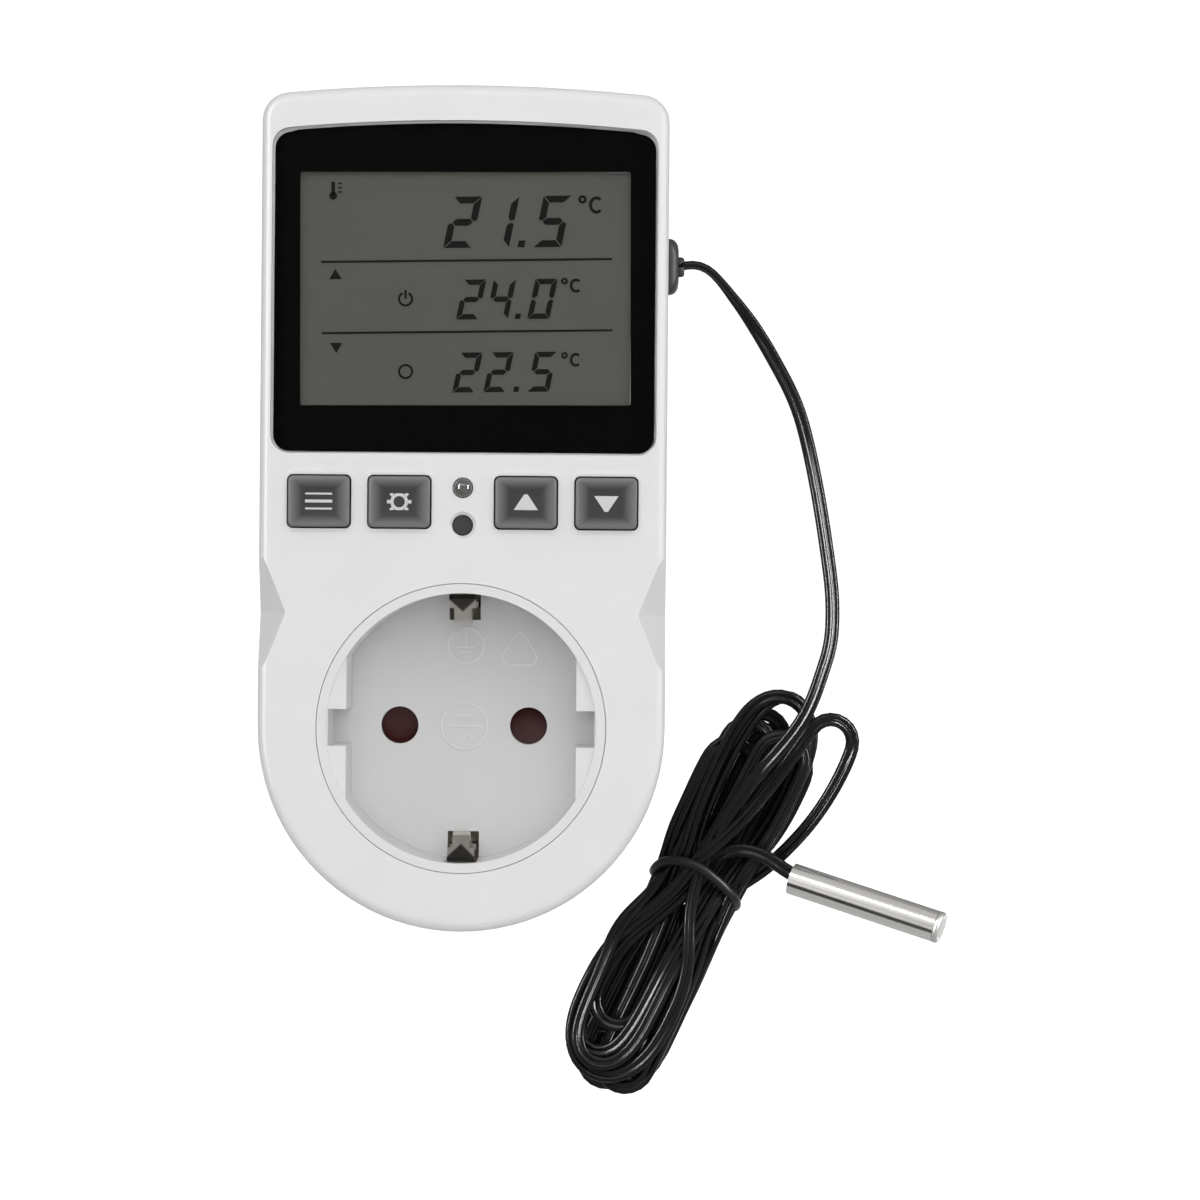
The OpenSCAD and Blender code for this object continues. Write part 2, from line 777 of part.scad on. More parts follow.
module socket_cup() {
    color("gainsboro") difference() {
        union() {
            rod(front_y, base_front_y, cup_r);
            rod(inner_front_y + seat_gap, inner_front_y + seat_gap + cup_collar_t, cup_r + cup_collar);
        }
        rod(front_y - over, front_y + flat_drop, recess_r);
        slab(front_y - over, floor_y) difference() {
            circle(recess_r);
            both_sides() above_flats();
        }
        rod(floor_back_y, base_front_y + over, cup_r - cup_wall);
        both_sides() at([pin_x, 0]) rod(floor_y - over, floor_back_y + over, pin_hole_d / 2);
        above_and_below() translate([-slot_w / 2, 0, 0]) {
            translate([0, front_y + slot_front, recess_r - over])
                cube([slot_w, base_front_y - front_y, earth_slot_out + over]);
            translate([0, floor_y - over, recess_r - earth_slot_in])
                cube([slot_w, floor_t + 2 * over, earth_slot_in + earth_slot_out]);
        }
    }
}

// The part of the recess that a side flat fills, above and below its guide notch
module above_flats() {
    above_and_below_2d() translate([recess_flats / 2, notch_h / 2])
        square([recess_r, recess_r]);
    translate([recess_r - notch_wall, -notch_h])
        square([recess_r, 2 * notch_h]);
}

module above_and_below_2d() {
    children();
    mirror([0, 1]) children();
}

// The shutter: a hub and two wings that cover the pin holes, each with a ramp for a pin
module shutter() {
    color("darkred") difference() {
        union() {
            rod(shutter_front_y, shutter_back_y, shutter_hub_r);
            slab(shutter_front_y, shutter_back_y) both_sides() polygon(concat([[0, 0]],
                arc(0, 0, shutter_r, -shutter_half_angle, shutter_half_angle, corner_steps)));
        }
        rod(shutter_front_y - over, shutter_back_y + over, pivot_r + run_gap);
        for (turn = [0, 180]) rotate([0, turn, 0])
            translate([shutter_hub_r + seat_gap, shutter_front_y, -shutter_r * sin(shutter_half_angle)])
                rotate([-ramp_angle, 0, 0]) translate([0, -2 * shutter_t, -over])
                    cube([shutter_r, 2 * shutter_t, shutter_r + over]);
    }
}

// A coil of round wire about the pivot
module shutter_spring() {
    steps = 12;
    color("silver") skin([for (i = [0:spring_turns * steps])
        let (a = 360 * i / steps, y = shutter_back_y + spring_room / 2
                + spring_pitch * (i / steps - spring_turns / 2))
        [for (j = [0:5]) let (b = 60 * j, r = spring_r + spring_wire / 2 * cos(b))
            [r * cos(a), y + spring_wire / 2 * sin(b), r * sin(a)]]]);
}

module contact_base() {
    color("beige") difference() {
        union() {
            rod(base_front_y, base_back_y, cup_r);
            rod(floor_back_y + seat_gap, base_front_y, pivot_r);
        }
        both_sides() at([pin_x, 0])
            rod(base_front_y - over, base_back_y + over, pin_r + base_hole_gap);
        above_and_below() translate([-arm_w / 2 - seat_gap, base_front_y - over,
                arm_z - earth_t / 2 - seat_gap])
            cube([arm_w + 2 * seat_gap, base_t + 2 * over, earth_t + 2 * seat_gap]);
    }
}

// Side view of a tongue: up the arm, in to its crest and out again to its tip
tongue_shares = [0.62, 0.5, 0.4, 0.2];
tongue_path = [
    [base_back_y + earth_t / 2, arm_z],
    [floor_y - earth_t, arm_z],
    [floor_y - earth_t * 2, arm_z - earth_t / 4],
    [front_y + recess_depth * tongue_shares[0], recess_r - tongue_crest_in + earth_t],
    [front_y + recess_depth * tongue_shares[1], recess_r - tongue_crest_in + earth_t / 2],
    [front_y + recess_depth * tongue_shares[2], recess_r - tongue_crest_in + earth_t],
    [front_y + recess_depth * tongue_shares[3], recess_r - tongue_tip_out - earth_t / 2]];
// Where the tongue widens into its shoulders, along its last stretch
shoulder_share = 0.55;
shoulder = tongue_path[5] + (tongue_path[6] - tongue_path[5]) * shoulder_share;

module earth_bracket() {
    color("lightgray") {
        above_and_below() {
            across_x(arm_w) polygon(bent([tongue_path[0], tongue_path[1]], earth_t));
            across_x(tongue_w) polygon(bent([for (i = [1:6]) tongue_path[i]], earth_t));
            across_x(arm_w) polygon(bent([shoulder, tongue_path[6]], earth_t));
        }
        across_x(arm_w) translate([base_back_y, -arm_z - earth_t / 2])
            square([earth_t, 2 * arm_z + earth_t]);
    }
}

module plug_earth_strips() {
    color("lightgray") above_and_below() across_x(strip_w) {
        translate([strip_turn_y, strip_z - earth_t / 2]) square([strip_len, earth_t]);
        translate([strip_turn_y, strip_inner_z]) square([earth_t, strip_z - strip_inner_z]);
        translate([earth_strap_y + earth_t / 2, strip_inner_z])
            square([strip_turn_y + earth_t - earth_strap_y - earth_t / 2, earth_t]);
    }
}

// A split barrel that takes one pin, on the contact base
module barrel() {
    difference() {
        rod(base_back_y, tab_y, barrel_r);
        rod(base_back_y - over, tab_y + over, pin_r + run_gap);
        translate([-barrel_slit / 2, base_back_y - over, -barrel_r - over])
            cube([barrel_slit, tab_y - base_back_y + 2 * over, barrel_r + over]);
    }
}

// A flat tab from the end of a barrel up to the power board
tab_lap = 3;
tab_rise = board_foot_z + tab_lap;

module tab() {
    slab(tab_y, tab_y + contact_t) translate([-contact_w / 2, -barrel_r])
        square([contact_w, barrel_r + tab_rise]);
}

module line_contact() {
    color("goldenrod") at([-pin_x, 0]) {
        barrel();
        tab();
    }
}

module neutral_contact() {
    color("goldenrod") at([pin_x, 0]) {
        barrel();
        tab();
        rod(tab_y + contact_t, -face_wall - head_t, link_r);
    }
}

module line_strip() {
    color("goldenrod") {
        at([-pin_x, 0]) rod(line_strip_y + contact_t, -face_wall - head_t, link_r);
        slab(line_strip_y, line_strip_y + contact_t) {
            translate([-pin_x, 0]) circle(head_r);
            translate([-pin_x - contact_w - tail_w / 2 - seat_gap, -head_r])
                square([tail_w, tab_rise + head_r]);
            translate([-pin_x - contact_w - tail_w / 2 - seat_gap, -head_r])
                square([contact_w + tail_w / 2, 2 * head_r]);
        }
    }
}

// A plug pin with a rounded tip, and its head inside the engagement face
module plug_pin() {
    rod(-face_wall - head_t, -face_wall, head_r);
    rod(-face_wall, 0, pin_root_r);
    rod(0, pin_len - pin_tip_r, pin_r);
    translate([0, pin_len - pin_tip_r, 0]) rotate([-90, 0, 0]) rotate_extrude()
        intersection() {
            union() {
                translate([pin_r - pin_tip_r, 0]) circle(pin_tip_r);
                square([pin_r - pin_tip_r, pin_tip_r]);
            }
            square([pin_r, pin_tip_r]);
        }
}

module line_pin() {
    color("silver") at([-pin_x, 0]) plug_pin();
}

module neutral_pin() {
    color("silver") at([pin_x, 0]) plug_pin();
}

// Power board

module power_board() {
    color("green") difference() {
        slab(power_front_y, power_back_y) translate([-power_half, board_foot_z])
            square([2 * power_half, power_top_z - board_foot_z]);
        for (x = [-1, 1]) for (z = power_screw_z) at([x * power_screw_x, z])
            rod(power_front_y - over, power_back_y + over, board_screw_d / 2 + seat_gap);
    }
}

module power_screws() {
    color("silver") for (x = [-1, 1]) for (z = power_screw_z) at([x * power_screw_x, z]) {
        rod(power_front_y - board_screw_head_t, power_front_y, board_screw_head_d / 2);
        rod(power_front_y, power_back_y + power_screw_past, board_screw_d / 2);
    }
}

place_shares = [-0.52, 0.41, 0.52, -0.07];
relay_z = 46;
film_z = 40;
smoothing_z = 58;
varistor_z = 60;
connector_w = 6;
connector_reach = 5.5;
connector_below = 0.9;
relay_place = [power_half * place_shares[0], relay_z];
film_place = [power_half * place_shares[1], film_z];
smoothing_place = [power_half * place_shares[2], smoothing_z];
varistor_place = [power_half * place_shares[3], varistor_z];
connector_size = [connector_w, connector_reach, connector_w];
connector_place = [power_half - connector_w, grommet_z - connector_below];

module on_power_board(size, place) {
    translate([place[0] - size[0] / 2, power_front_y - size[1], place[1] - size[2] / 2]) cube(size);
}

module relay() {
    color("royalblue") on_power_board(relay_size, relay_place);
}

module film_capacitor() {
    color("gold") on_power_board(film_size, film_place);
}

module smoothing_capacitor() {
    color("midnightblue") at(smoothing_place)
        rod(power_front_y - smoothing_len, power_front_y, smoothing_r);
}

module varistor() {
    color("steelblue") translate([varistor_place[0], power_front_y - varistor_r, varistor_place[1]])
        rotate([0, 90, 0]) cylinder(h = varistor_t, r = varistor_r, center = true);
}

module sensor_connector() {
    color("ivory") on_power_board(connector_size, connector_place);
}

// Probe cord: sections of a flat twin cord along a path

function unit(v) = v / norm(v);

function tangents(path) = [for (i = [0:len(path) - 1])
    unit(path[min(i + 1, len(path) - 1)] - path[max(i - 1, 0)])];

// A section whose wide axis lies near a given direction
function section(c, along, wide, sides) =
    let (thin = unit(cross(along, wide)), across = cross(thin, along), half_t = cord_t / 2
            / (sides == 6 ? sin(60) : 1))
    [for (j = [0:sides - 1]) let (a = 360 * j / sides)
        c + across * cord_w / 2 * cos(a) + thin * half_t * sin(a)];

// A smooth path through hand-chosen points, with steps sections between two of them
function smooth(p, steps) = let (n = len(p)) concat(
    [for (i = [0:n - 2]) let (a = i == 0 ? 2 * p[0] - p[1] : p[i - 1], b = p[i], c = p[i + 1],
            d = i == n - 2 ? 2 * p[n - 1] - p[n - 2] : p[i + 2])
        for (k = [0:steps - 1]) let (u = k / steps)
            b + (c - a) * u / 2 + (2 * a - 5 * b + 4 * c - d) * u * u / 2
                + (3 * b - a - 3 * c + d) * u * u * u / 2],
    [p[n - 1]]);

// A cord along a path, with the direction of its wide axis given for every section.
// Its end faces are square to the first and last directions
module cord(path, wide, first, last, sides) {
    t = tangents(path);
    n = len(path);
    skin([for (i = [0:n - 1])
        section(path[i], i == 0 ? first : i == n - 1 ? last : t[i], wide[i], sides)]);
}

function ramp(u, a, b) = let (s = max(0, min(1, (u - a) / (b - a)))) s * s * (3 - 2 * s);

// The hank hangs in a plane of its own: up and right lean with it, layers pile up along Y
hank_middle = [33.7, -39, -25.5];
hank_up = [sin(hank_lean), 0, cos(hank_lean)];
hank_right = [cos(hank_lean), 0, -sin(hank_lean)];
hank_back = [0, 1, 0];

function in_hank(right, up, back) =
    hank_middle + hank_right * right + hank_up * up + hank_back * back;

// Loops spiral out for 2 turns, climb a layer in the middle of the half turn that follows,
// and spiral in again
turns_out = 2;
turns_layer = 2.5;
climb_shares = [0.42, 0.58];
hank_steps = 24;
hank_start = 0.25;
hank_end = hank_layers * turns_layer - 0.25;
end_squareness = 0.5;

function layer_of(t) = floor(t / turns_layer + 1 / (hank_steps * turns_layer * 4));
function spiral(t) = let (layer = layer_of(t), s = min(turns_out, t - layer * turns_layer))
    layer % 2 == 0 ? turns_out - s : s;
function climb(t) = let (layer = layer_of(t), s = t - layer * turns_layer - turns_out)
    layer + (layer == hank_layers - 1 ? 0 : ramp(2 * s, climb_shares[0], climb_shares[1]));
function opening(up) = ramp(abs(up - waist_up), 0, waist_reach);

function hank_point(t) = let (
        k = spiral(t),
        up = (hank_len / 2 - end_step * k) * cos(360 * t),
        out = turns_out - k,
        waist = waist_half + waist_step * out,
        lobe = lobe_half + lobe_step * out,
        half = waist + (lobe - waist) * opening(up),
        side = -sin(360 * t))
    in_hank(half * sign(side) * pow(abs(side), end_squareness), up, climb(t) * layer_step);

hank_loops = [for (t = [hank_start:1 / hank_steps:hank_end + 1 / (4 * hank_steps)]) hank_point(t)];
hank_in = hank_loops[0] + hank_up * cord_w;
hank_out = hank_loops[len(hank_loops) - 1] + hank_up * cord_w;
hank_path = concat([hank_in], hank_loops, [hank_out]);

// The least gap between turns: beside each other by the thickness, behind each other by the width
function flat_gap(p, q) = let (d = q - p, side = norm([d[0], d[2]]) - cord_t,
        deep = abs(d[1]) - cord_w)
    side > 0 && deep > 0 ? norm([side, deep]) : max(side, deep);
function nearest_on(p, a, b) = let (d = b - a, u = max(0, min(1, (p - a) * d / (d * d)))) a + d * u;
function least_gap(path, skip) = min([for (i = [0:len(path) - 1])
    for (j = [i + skip:len(path) - 2]) if (j < len(path) - 1)
        flat_gap(path[i], nearest_on(path[i], path[j], path[j + 1]))]);

// The free cord, from the grommet down to the hank
cord_route = [[31.2, -35, 68.4], [33.5, -35, 68.8], [36, -35, 67.8], [38.5, -35, 65], [42, -35, 60.4],
    [45.3, -35.5, 55], [48.4, -36.5, 49], [50.2, -37.5, 43.5], [52, -39, 35], [53.5, -40.5, 25.5],
    [54.2, -41.6, 19], [54, -42.6, 13], [52.8, -43.3, 8.5], [51, -43.8, 3.5], [49, -44, 0],
    [46.2, -44.1, -3.5], [43.6, -44.1, -6.5], [41.2, -44.1, -9.7], [39, -43.9, -13],
    [36.8, -42.7, -16.6], [34.8, -40.3, -19.8]];
// Sections between two points of the route
route_steps = 2;
// Where the cord's wide axis turns into the picture plane and back, along the route
turn_shares = [0.08, 0.3, 0.86, 0.98];

module probe_cord() {
    path = smooth(concat(cord_route, [hank_in]), route_steps);
    n = len(path);
    t = tangents(path);
    wide = [for (i = [0:n - 1]) let (u = i / (n - 1), a = 90 * (ramp(u, turn_shares[0], turn_shares[1])
            - ramp(u, turn_shares[2], turn_shares[3])))
        hank_back * cos(a) + unit(cross(t[i], hank_back)) * sin(a)];
    color("black") cord(path, wide, [1, 0, 0], -hank_up, 8);
}

module cord_hank() {
    echo(least_gap_of_the_hank = least_gap(hank_loops, hank_steps / 2));
    n = len(hank_path);
    color("black") cord(hank_path, [for (i = [0:n - 1]) hank_back], -hank_up, hank_up, 6);
}

// The probe hangs to the right of the hank, its closed end lower and further forward
probe_start = [48.6, -41.6, -22.2];
probe_along = unit([0.918, -0.276, -0.284]);
// Where the lead's wide axis turns from the hank's depth to its height
lead_shares = [0.05, 0.4];
lead_route = [[36, -31.1, -21.6], [37, -31.9, -18.7], [37.9, -34, -16.4], [38.6, -37, -15],
    [38.8, -40, -14.6], [39.7, -42, -14.9], [41.5, -42.6, -16.2], [43.1, -42.1, -18.3],
    [44.7, -41.3, -20.3]];

module probe_lead() {
    route = concat([hank_out], lead_route, [probe_start - probe_along * cord_w, probe_start]);
    path = smooth(route, route_steps);
    n = len(path);
    wide = [for (i = [0:n - 1]) let (a = 90 * ramp(i / (n - 1), lead_shares[0], lead_shares[1]))
        hank_back * cos(a) + hank_up * sin(a)];
    color("black") cord(path, wide, hank_up, probe_along, 8);
}

// Draws along the probe, from its cord end
module on_probe() {
    turn = atan2(probe_along[1], probe_along[0]);
    dip = acos(probe_along[2]);
    translate(probe_start) rotate([0, dip, turn]) children();
}

module probe_potting() {
    color("black") on_probe() difference() {
        cylinder(h = probe_len - 2 * probe_wall, r = probe_d / 2 - probe_wall);
        translate([0, 0, probe_len * bead_share]) sphere(bead_r);
    }
}

bead_share = 0.78;
bead_r = 1.1;

module thermistor_bead() {
    color("dimgray") on_probe() translate([0, 0, probe_len * bead_share]) sphere(bead_r);
}

tube_edge = 0.35;

module probe_tube() {
    color("silver") on_probe() rotate_extrude() difference() {
        union() {
            square([probe_d / 2, probe_len - tube_edge]);
            square([probe_d / 2 - tube_edge, probe_len]);
            translate([probe_d / 2 - tube_edge, probe_len - tube_edge]) circle(tube_edge);
        }
        translate([-over, -over]) square([probe_d / 2 - probe_wall + over, probe_len - 2 * probe_wall + over]);
    }
}

// The tie: a closed ring of wire around the waist, all the strands and a little slack inside
tie_gap = 0.35;
tie_squareness = 0.5;
tie_steps = 32;
tie_tilt = 10;

module cord_tie() {
    half_x = waist_half + waist_step * turns_out + cord_t / 2 + tie_gap + tie_d / 2;
    half_y = (hank_layers - 1) * layer_step / 2 + cord_w / 2 + tie_gap + tie_d / 2;
    middle_y = (hank_layers - 1) * layer_step / 2;
    ring = [for (i = [0:tie_steps - 1]) let (a = 360 * i / tie_steps,
            x = half_x * sign(cos(a)) * pow(abs(cos(a)), tie_squareness),
            y = half_y * sign(sin(a)) * pow(abs(sin(a)), tie_squareness))
        in_hank(x, waist_up - x * tan(tie_tilt), middle_y + y)];
    color("black") skin([for (i = [0:tie_steps - 1])
        let (along = unit(ring[(i + 1) % tie_steps] - ring[(i + tie_steps - 1) % tie_steps]),
            out = unit(cross(along, hank_up)), up = cross(out, along))
        [for (j = [0:5]) ring[i] + (out * cos(60 * j) + up * sin(60 * j)) * tie_d / 2]], closed = true);
}

// The cord's tail inside the housing, from the grommet to its connector
tail_route = [[inner_r - grommet_flange_t, split_y, grommet_z],
    [inner_r - grommet_flange_t - cord_w, split_y, grommet_z],
    [connector_place[0] + cord_w / 2, split_y + cord_w / 2, grommet_z],
    [connector_place[0], power_front_y - connector_size[1] - cord_w, connector_place[1]],
    [connector_place[0], power_front_y - connector_size[1], connector_place[1]]];

module cord_tail() {
    path = smooth(tail_route, route_steps);
    color("black") cord(path, [for (p = path) [0, 0, 1]], [-1, 0, 0], [0, 1, 0], 8);
}

front_shell();
rear_shell();
display_window();
lcd_glass();
lcd_frame();
zebra_strips();
display_board();
controller_chip();
tact_switches();
mode_plunger();
set_plunger();
up_plunger();
down_plunger();
reset_plunger();
mode_key();
set_key();
up_key();
down_key();
reset_button();
status_lamp();
board_link();
power_board();
relay();
film_capacitor();
smoothing_capacitor();
varistor();
socket_cup();
shutter();
shutter_spring();
contact_base();
earth_bracket();
plug_earth_strips();
line_contact();
neutral_contact();
line_strip();
line_pin();
neutral_pin();
cord_grommet();
cord_tail();
sensor_connector();
housing_screws();
display_screws();
power_screws();
probe_cord();
cord_hank();
probe_lead();
cord_tie();
probe_tube();
probe_potting();
thermistor_bead();
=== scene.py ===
"""Looks of the plug in temperature controller.

Lengths are in millimetres and are scaled to metres by MM. The picture plane is X and Z, and Y runs away from
the camera. The lights and the floor are in metres.
"""
import math
from collections import namedtuple

import bmesh
import bpy
import numpy as np
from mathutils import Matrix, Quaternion, Vector
from mathutils.geometry import convex_hull_2d


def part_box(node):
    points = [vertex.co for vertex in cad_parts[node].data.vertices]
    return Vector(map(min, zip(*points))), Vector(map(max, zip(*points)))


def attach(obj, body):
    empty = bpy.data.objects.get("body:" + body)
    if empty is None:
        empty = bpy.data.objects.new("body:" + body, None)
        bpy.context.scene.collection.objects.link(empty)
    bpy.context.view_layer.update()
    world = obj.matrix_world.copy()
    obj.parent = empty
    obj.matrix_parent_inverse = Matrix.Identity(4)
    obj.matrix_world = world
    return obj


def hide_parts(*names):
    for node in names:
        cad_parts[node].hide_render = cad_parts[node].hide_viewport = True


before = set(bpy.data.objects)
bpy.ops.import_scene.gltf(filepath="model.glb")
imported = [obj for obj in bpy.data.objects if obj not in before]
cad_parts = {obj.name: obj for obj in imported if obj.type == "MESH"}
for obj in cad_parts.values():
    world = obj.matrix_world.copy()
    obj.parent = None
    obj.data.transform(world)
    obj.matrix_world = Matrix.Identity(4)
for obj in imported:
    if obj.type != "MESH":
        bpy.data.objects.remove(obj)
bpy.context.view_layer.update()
MM = 0.001
scene = bpy.context.scene
rng = np.random.default_rng(7)

# Camera

CAMERA_AT = (19.9, -756.0, 18.7)
CAMERA_ROLL = math.radians(0.48)
camera = bpy.data.objects.new("camera", bpy.data.cameras.new("camera"))
scene.collection.objects.link(camera)
camera.location = [v * MM for v in CAMERA_AT]
camera.rotation_mode = "QUATERNION"
camera.rotation_quaternion = Quaternion((1, 0, 0), math.radians(90)) @ Quaternion((0, 0, 1), CAMERA_ROLL)
camera.data.sensor_width = 36
camera.data.lens = 145.1
camera.data.clip_start = 0.01
camera.data.clip_end = 20
scene.camera = camera

# Shader nodes


def new_node(tree, kind, settings=None, values=None, links=None):
    """Adds a node with its settings, the values of its inputs and the outputs that feed its other inputs."""
    node = tree.nodes.new("ShaderNode" + kind)
    for key, value in (settings or {}).items():
        setattr(node, key, value)
    for key, value in (values or {}).items():
        node.inputs[key].default_value = value
    for key, source in (links or {}).items():
        tree.links.new(source, node.inputs[key])
    return node


def result_of(tree, operation, *terms):
    """The result of a Math node. Each term is a node's output or a number."""
    node = new_node(tree, "Math", {"operation": operation})
    for k, term in enumerate(terms):
        if isinstance(term, (int, float)):
            node.inputs[k].default_value = term
        else:
            tree.links.new(term, node.inputs[k])
    return node.outputs["Value"]


def step_of(tree, source, start, end, low=0.0, high=1.0, kind="SMOOTHSTEP"):
    """Goes from low to high while the source goes from start to end."""
    limits = {"From Min": start, "From Max": end, "To Min": low, "To Max": high}
    node = new_node(tree, "MapRange", {"interpolation_type": kind}, limits, {"Value": source})
    return node.outputs["Result"]


def axes_of(tree, source):
    """The X, Y and Z outputs of a vector."""
    return new_node(tree, "SeparateXYZ", links={"Vector": source}).outputs


def where_on(tree, kind="Object"):
    """A piece's own coordinates: Object in metres, or Generated from 0 to 1 across its box."""
    return new_node(tree, "TexCoord").outputs[kind]


def noise_of(tree, place, scale, detail):
    node = new_node(tree, "TexNoise", None, {"Scale": scale, "Detail": detail}, {"Vector": place})
    return node.outputs["Fac"]


# Materials

GRAIN_DEPTH = 0.00004


def grey(value):
    return (value, value, value)


def material(name, color, rough=0.5, metal=0.0, specular=0.5, coat=0.0, coat_rough=0.1, vary=0.03,
             vary_scale=120.0, bump=0.0, bump_scale=2500.0, rough_vary=0.06, alpha=1.0, stretch=(1, 1, 1),
             turn=(0, 0, 0)):
    """A Principled material whose colour and roughness drift with noise and whose grain is a fine bump."""
    m = bpy.data.materials.new(name)
    m.use_nodes = True
    tree = m.node_tree
    shader = tree.nodes["Principled BSDF"]
    uniform = {"Metallic": metal, "IOR": 1.45, "Specular IOR Level": specular, "Coat Weight": coat,
               "Coat Roughness": coat_rough, "Alpha": alpha}
    for key, value in uniform.items():
        shader.inputs[key].default_value = value
    place = new_node(tree, "Mapping", {"vector_type": "TEXTURE"}, {"Scale": stretch, "Rotation": turn},
                     {"Vector": where_on(tree)}).outputs["Vector"]
    drift = noise_of(tree, place, vary_scale, 4)
    tones = new_node(tree, "ValToRGB", links={"Fac": drift})
    dark = [max(0.0, c * (1 - vary)) for c in color]
    light = [min(1.0, c * (1 + vary)) for c in color]
    for element, tone, at in zip(tones.color_ramp.elements, (dark, light), (0.3, 0.7)):
        element.color = (*tone, 1)
        element.position = at
    tree.links.new(tones.outputs["Color"], shader.inputs["Base Color"])
    spread = step_of(tree, drift, 0, 1, max(0.02, rough - rough_vary), min(1.0, rough + rough_vary), "LINEAR")
    tree.links.new(spread, shader.inputs["Roughness"])
    if bump:
        relief = new_node(tree, "Bump", None, {"Strength": bump, "Distance": GRAIN_DEPTH},
                          {"Height": noise_of(tree, place, bump_scale, 3)})
        tree.links.new(relief.outputs["Normal"], shader.inputs["Normal"])
    return m


def blended(m, share, first, second):
    """Blends a material's colour by share, from first, or from its own colour if that is None, to second."""
    tree = m.node_tree
    base = tree.nodes["Principled BSDF"].inputs["Base Color"]
    blend = new_node(tree, "Mix", {"data_type": "RGBA"}, {"B": (*second, 1)}, {"Factor": share})
    if first is None:
        tree.links.new(base.links[0].from_socket, blend.inputs["A"])
    else:
        blend.inputs["A"].default_value = (*first, 1)
    tree.links.new(blend.outputs["Result"], base)
    return m


def edge_lit(m, middle, edge, start):
    """Blends a cap's colour from its middle to its edges, a painted highlight where the dished rim catches
    the light.
    """
    tree = m.node_tree
    at = axes_of(tree, where_on(tree, "Generated"))
    off = [result_of(tree, "ABSOLUTE", result_of(tree, "SUBTRACT", at[axis], 0.5)) for axis in ("X", "Z")]
    return blended(m, step_of(tree, result_of(tree, "MAXIMUM", *off), start, 0.5), middle, edge)


def by_depth(m, front, deep, start, end):
    """Blends the colour from the front of a piece to a darker deep floor."""
    tree = m.node_tree
    depth = axes_of(tree, where_on(tree))["Y"]
    return blended(m, step_of(tree, depth, start * MM, end * MM, kind="LINEAR"), front, deep)


def painted_tip_shade(m, slant, start, end, share, shade_colour):
    """Paints shade on the earth tongues towards their tips, past two slanting shoulders, where the recess
    shades them.
    """
    tree = m.node_tree
    at = axes_of(tree, where_on(tree))
    aside, height = [result_of(tree, "ABSOLUTE", at[axis]) for axis in ("X", "Z")]
    height = result_of(tree, "SUBTRACT", height, result_of(tree, "MULTIPLY", aside, slant))
    return blended(m, step_of(tree, height, start * MM, end * MM, 0, share), None, shade_colour)


def glow_by_depth(m, color, most, start, end):
    """Makes the floor glow more and more from one depth in the scene to another."""
    tree = m.node_tree
    shader = tree.nodes["Principled BSDF"]
    depth = axes_of(tree, new_node(tree, "NewGeometry").outputs["Position"])["Y"]
    shader.inputs["Emission Color"].default_value = (*color, 1)
    tree.links.new(step_of(tree, depth, start, end, 0, most), shader.inputs["Emission Strength"])
    return m


PROBE_START = np.array([48.6, -41.6, -22.2])
PROBE_ALONG = np.array([0.918, -0.276, -0.284])
PROBE_ALONG /= np.linalg.norm(PROBE_ALONG)
PROBE_TURN = Vector((1, 0, 0)).rotation_difference(Vector(PROBE_ALONG)).to_euler()
# The depths between which the socket's colour changes from its rim to its floor
SOCKET_FRONT, SOCKET_DEEP = -44.5, -42.5

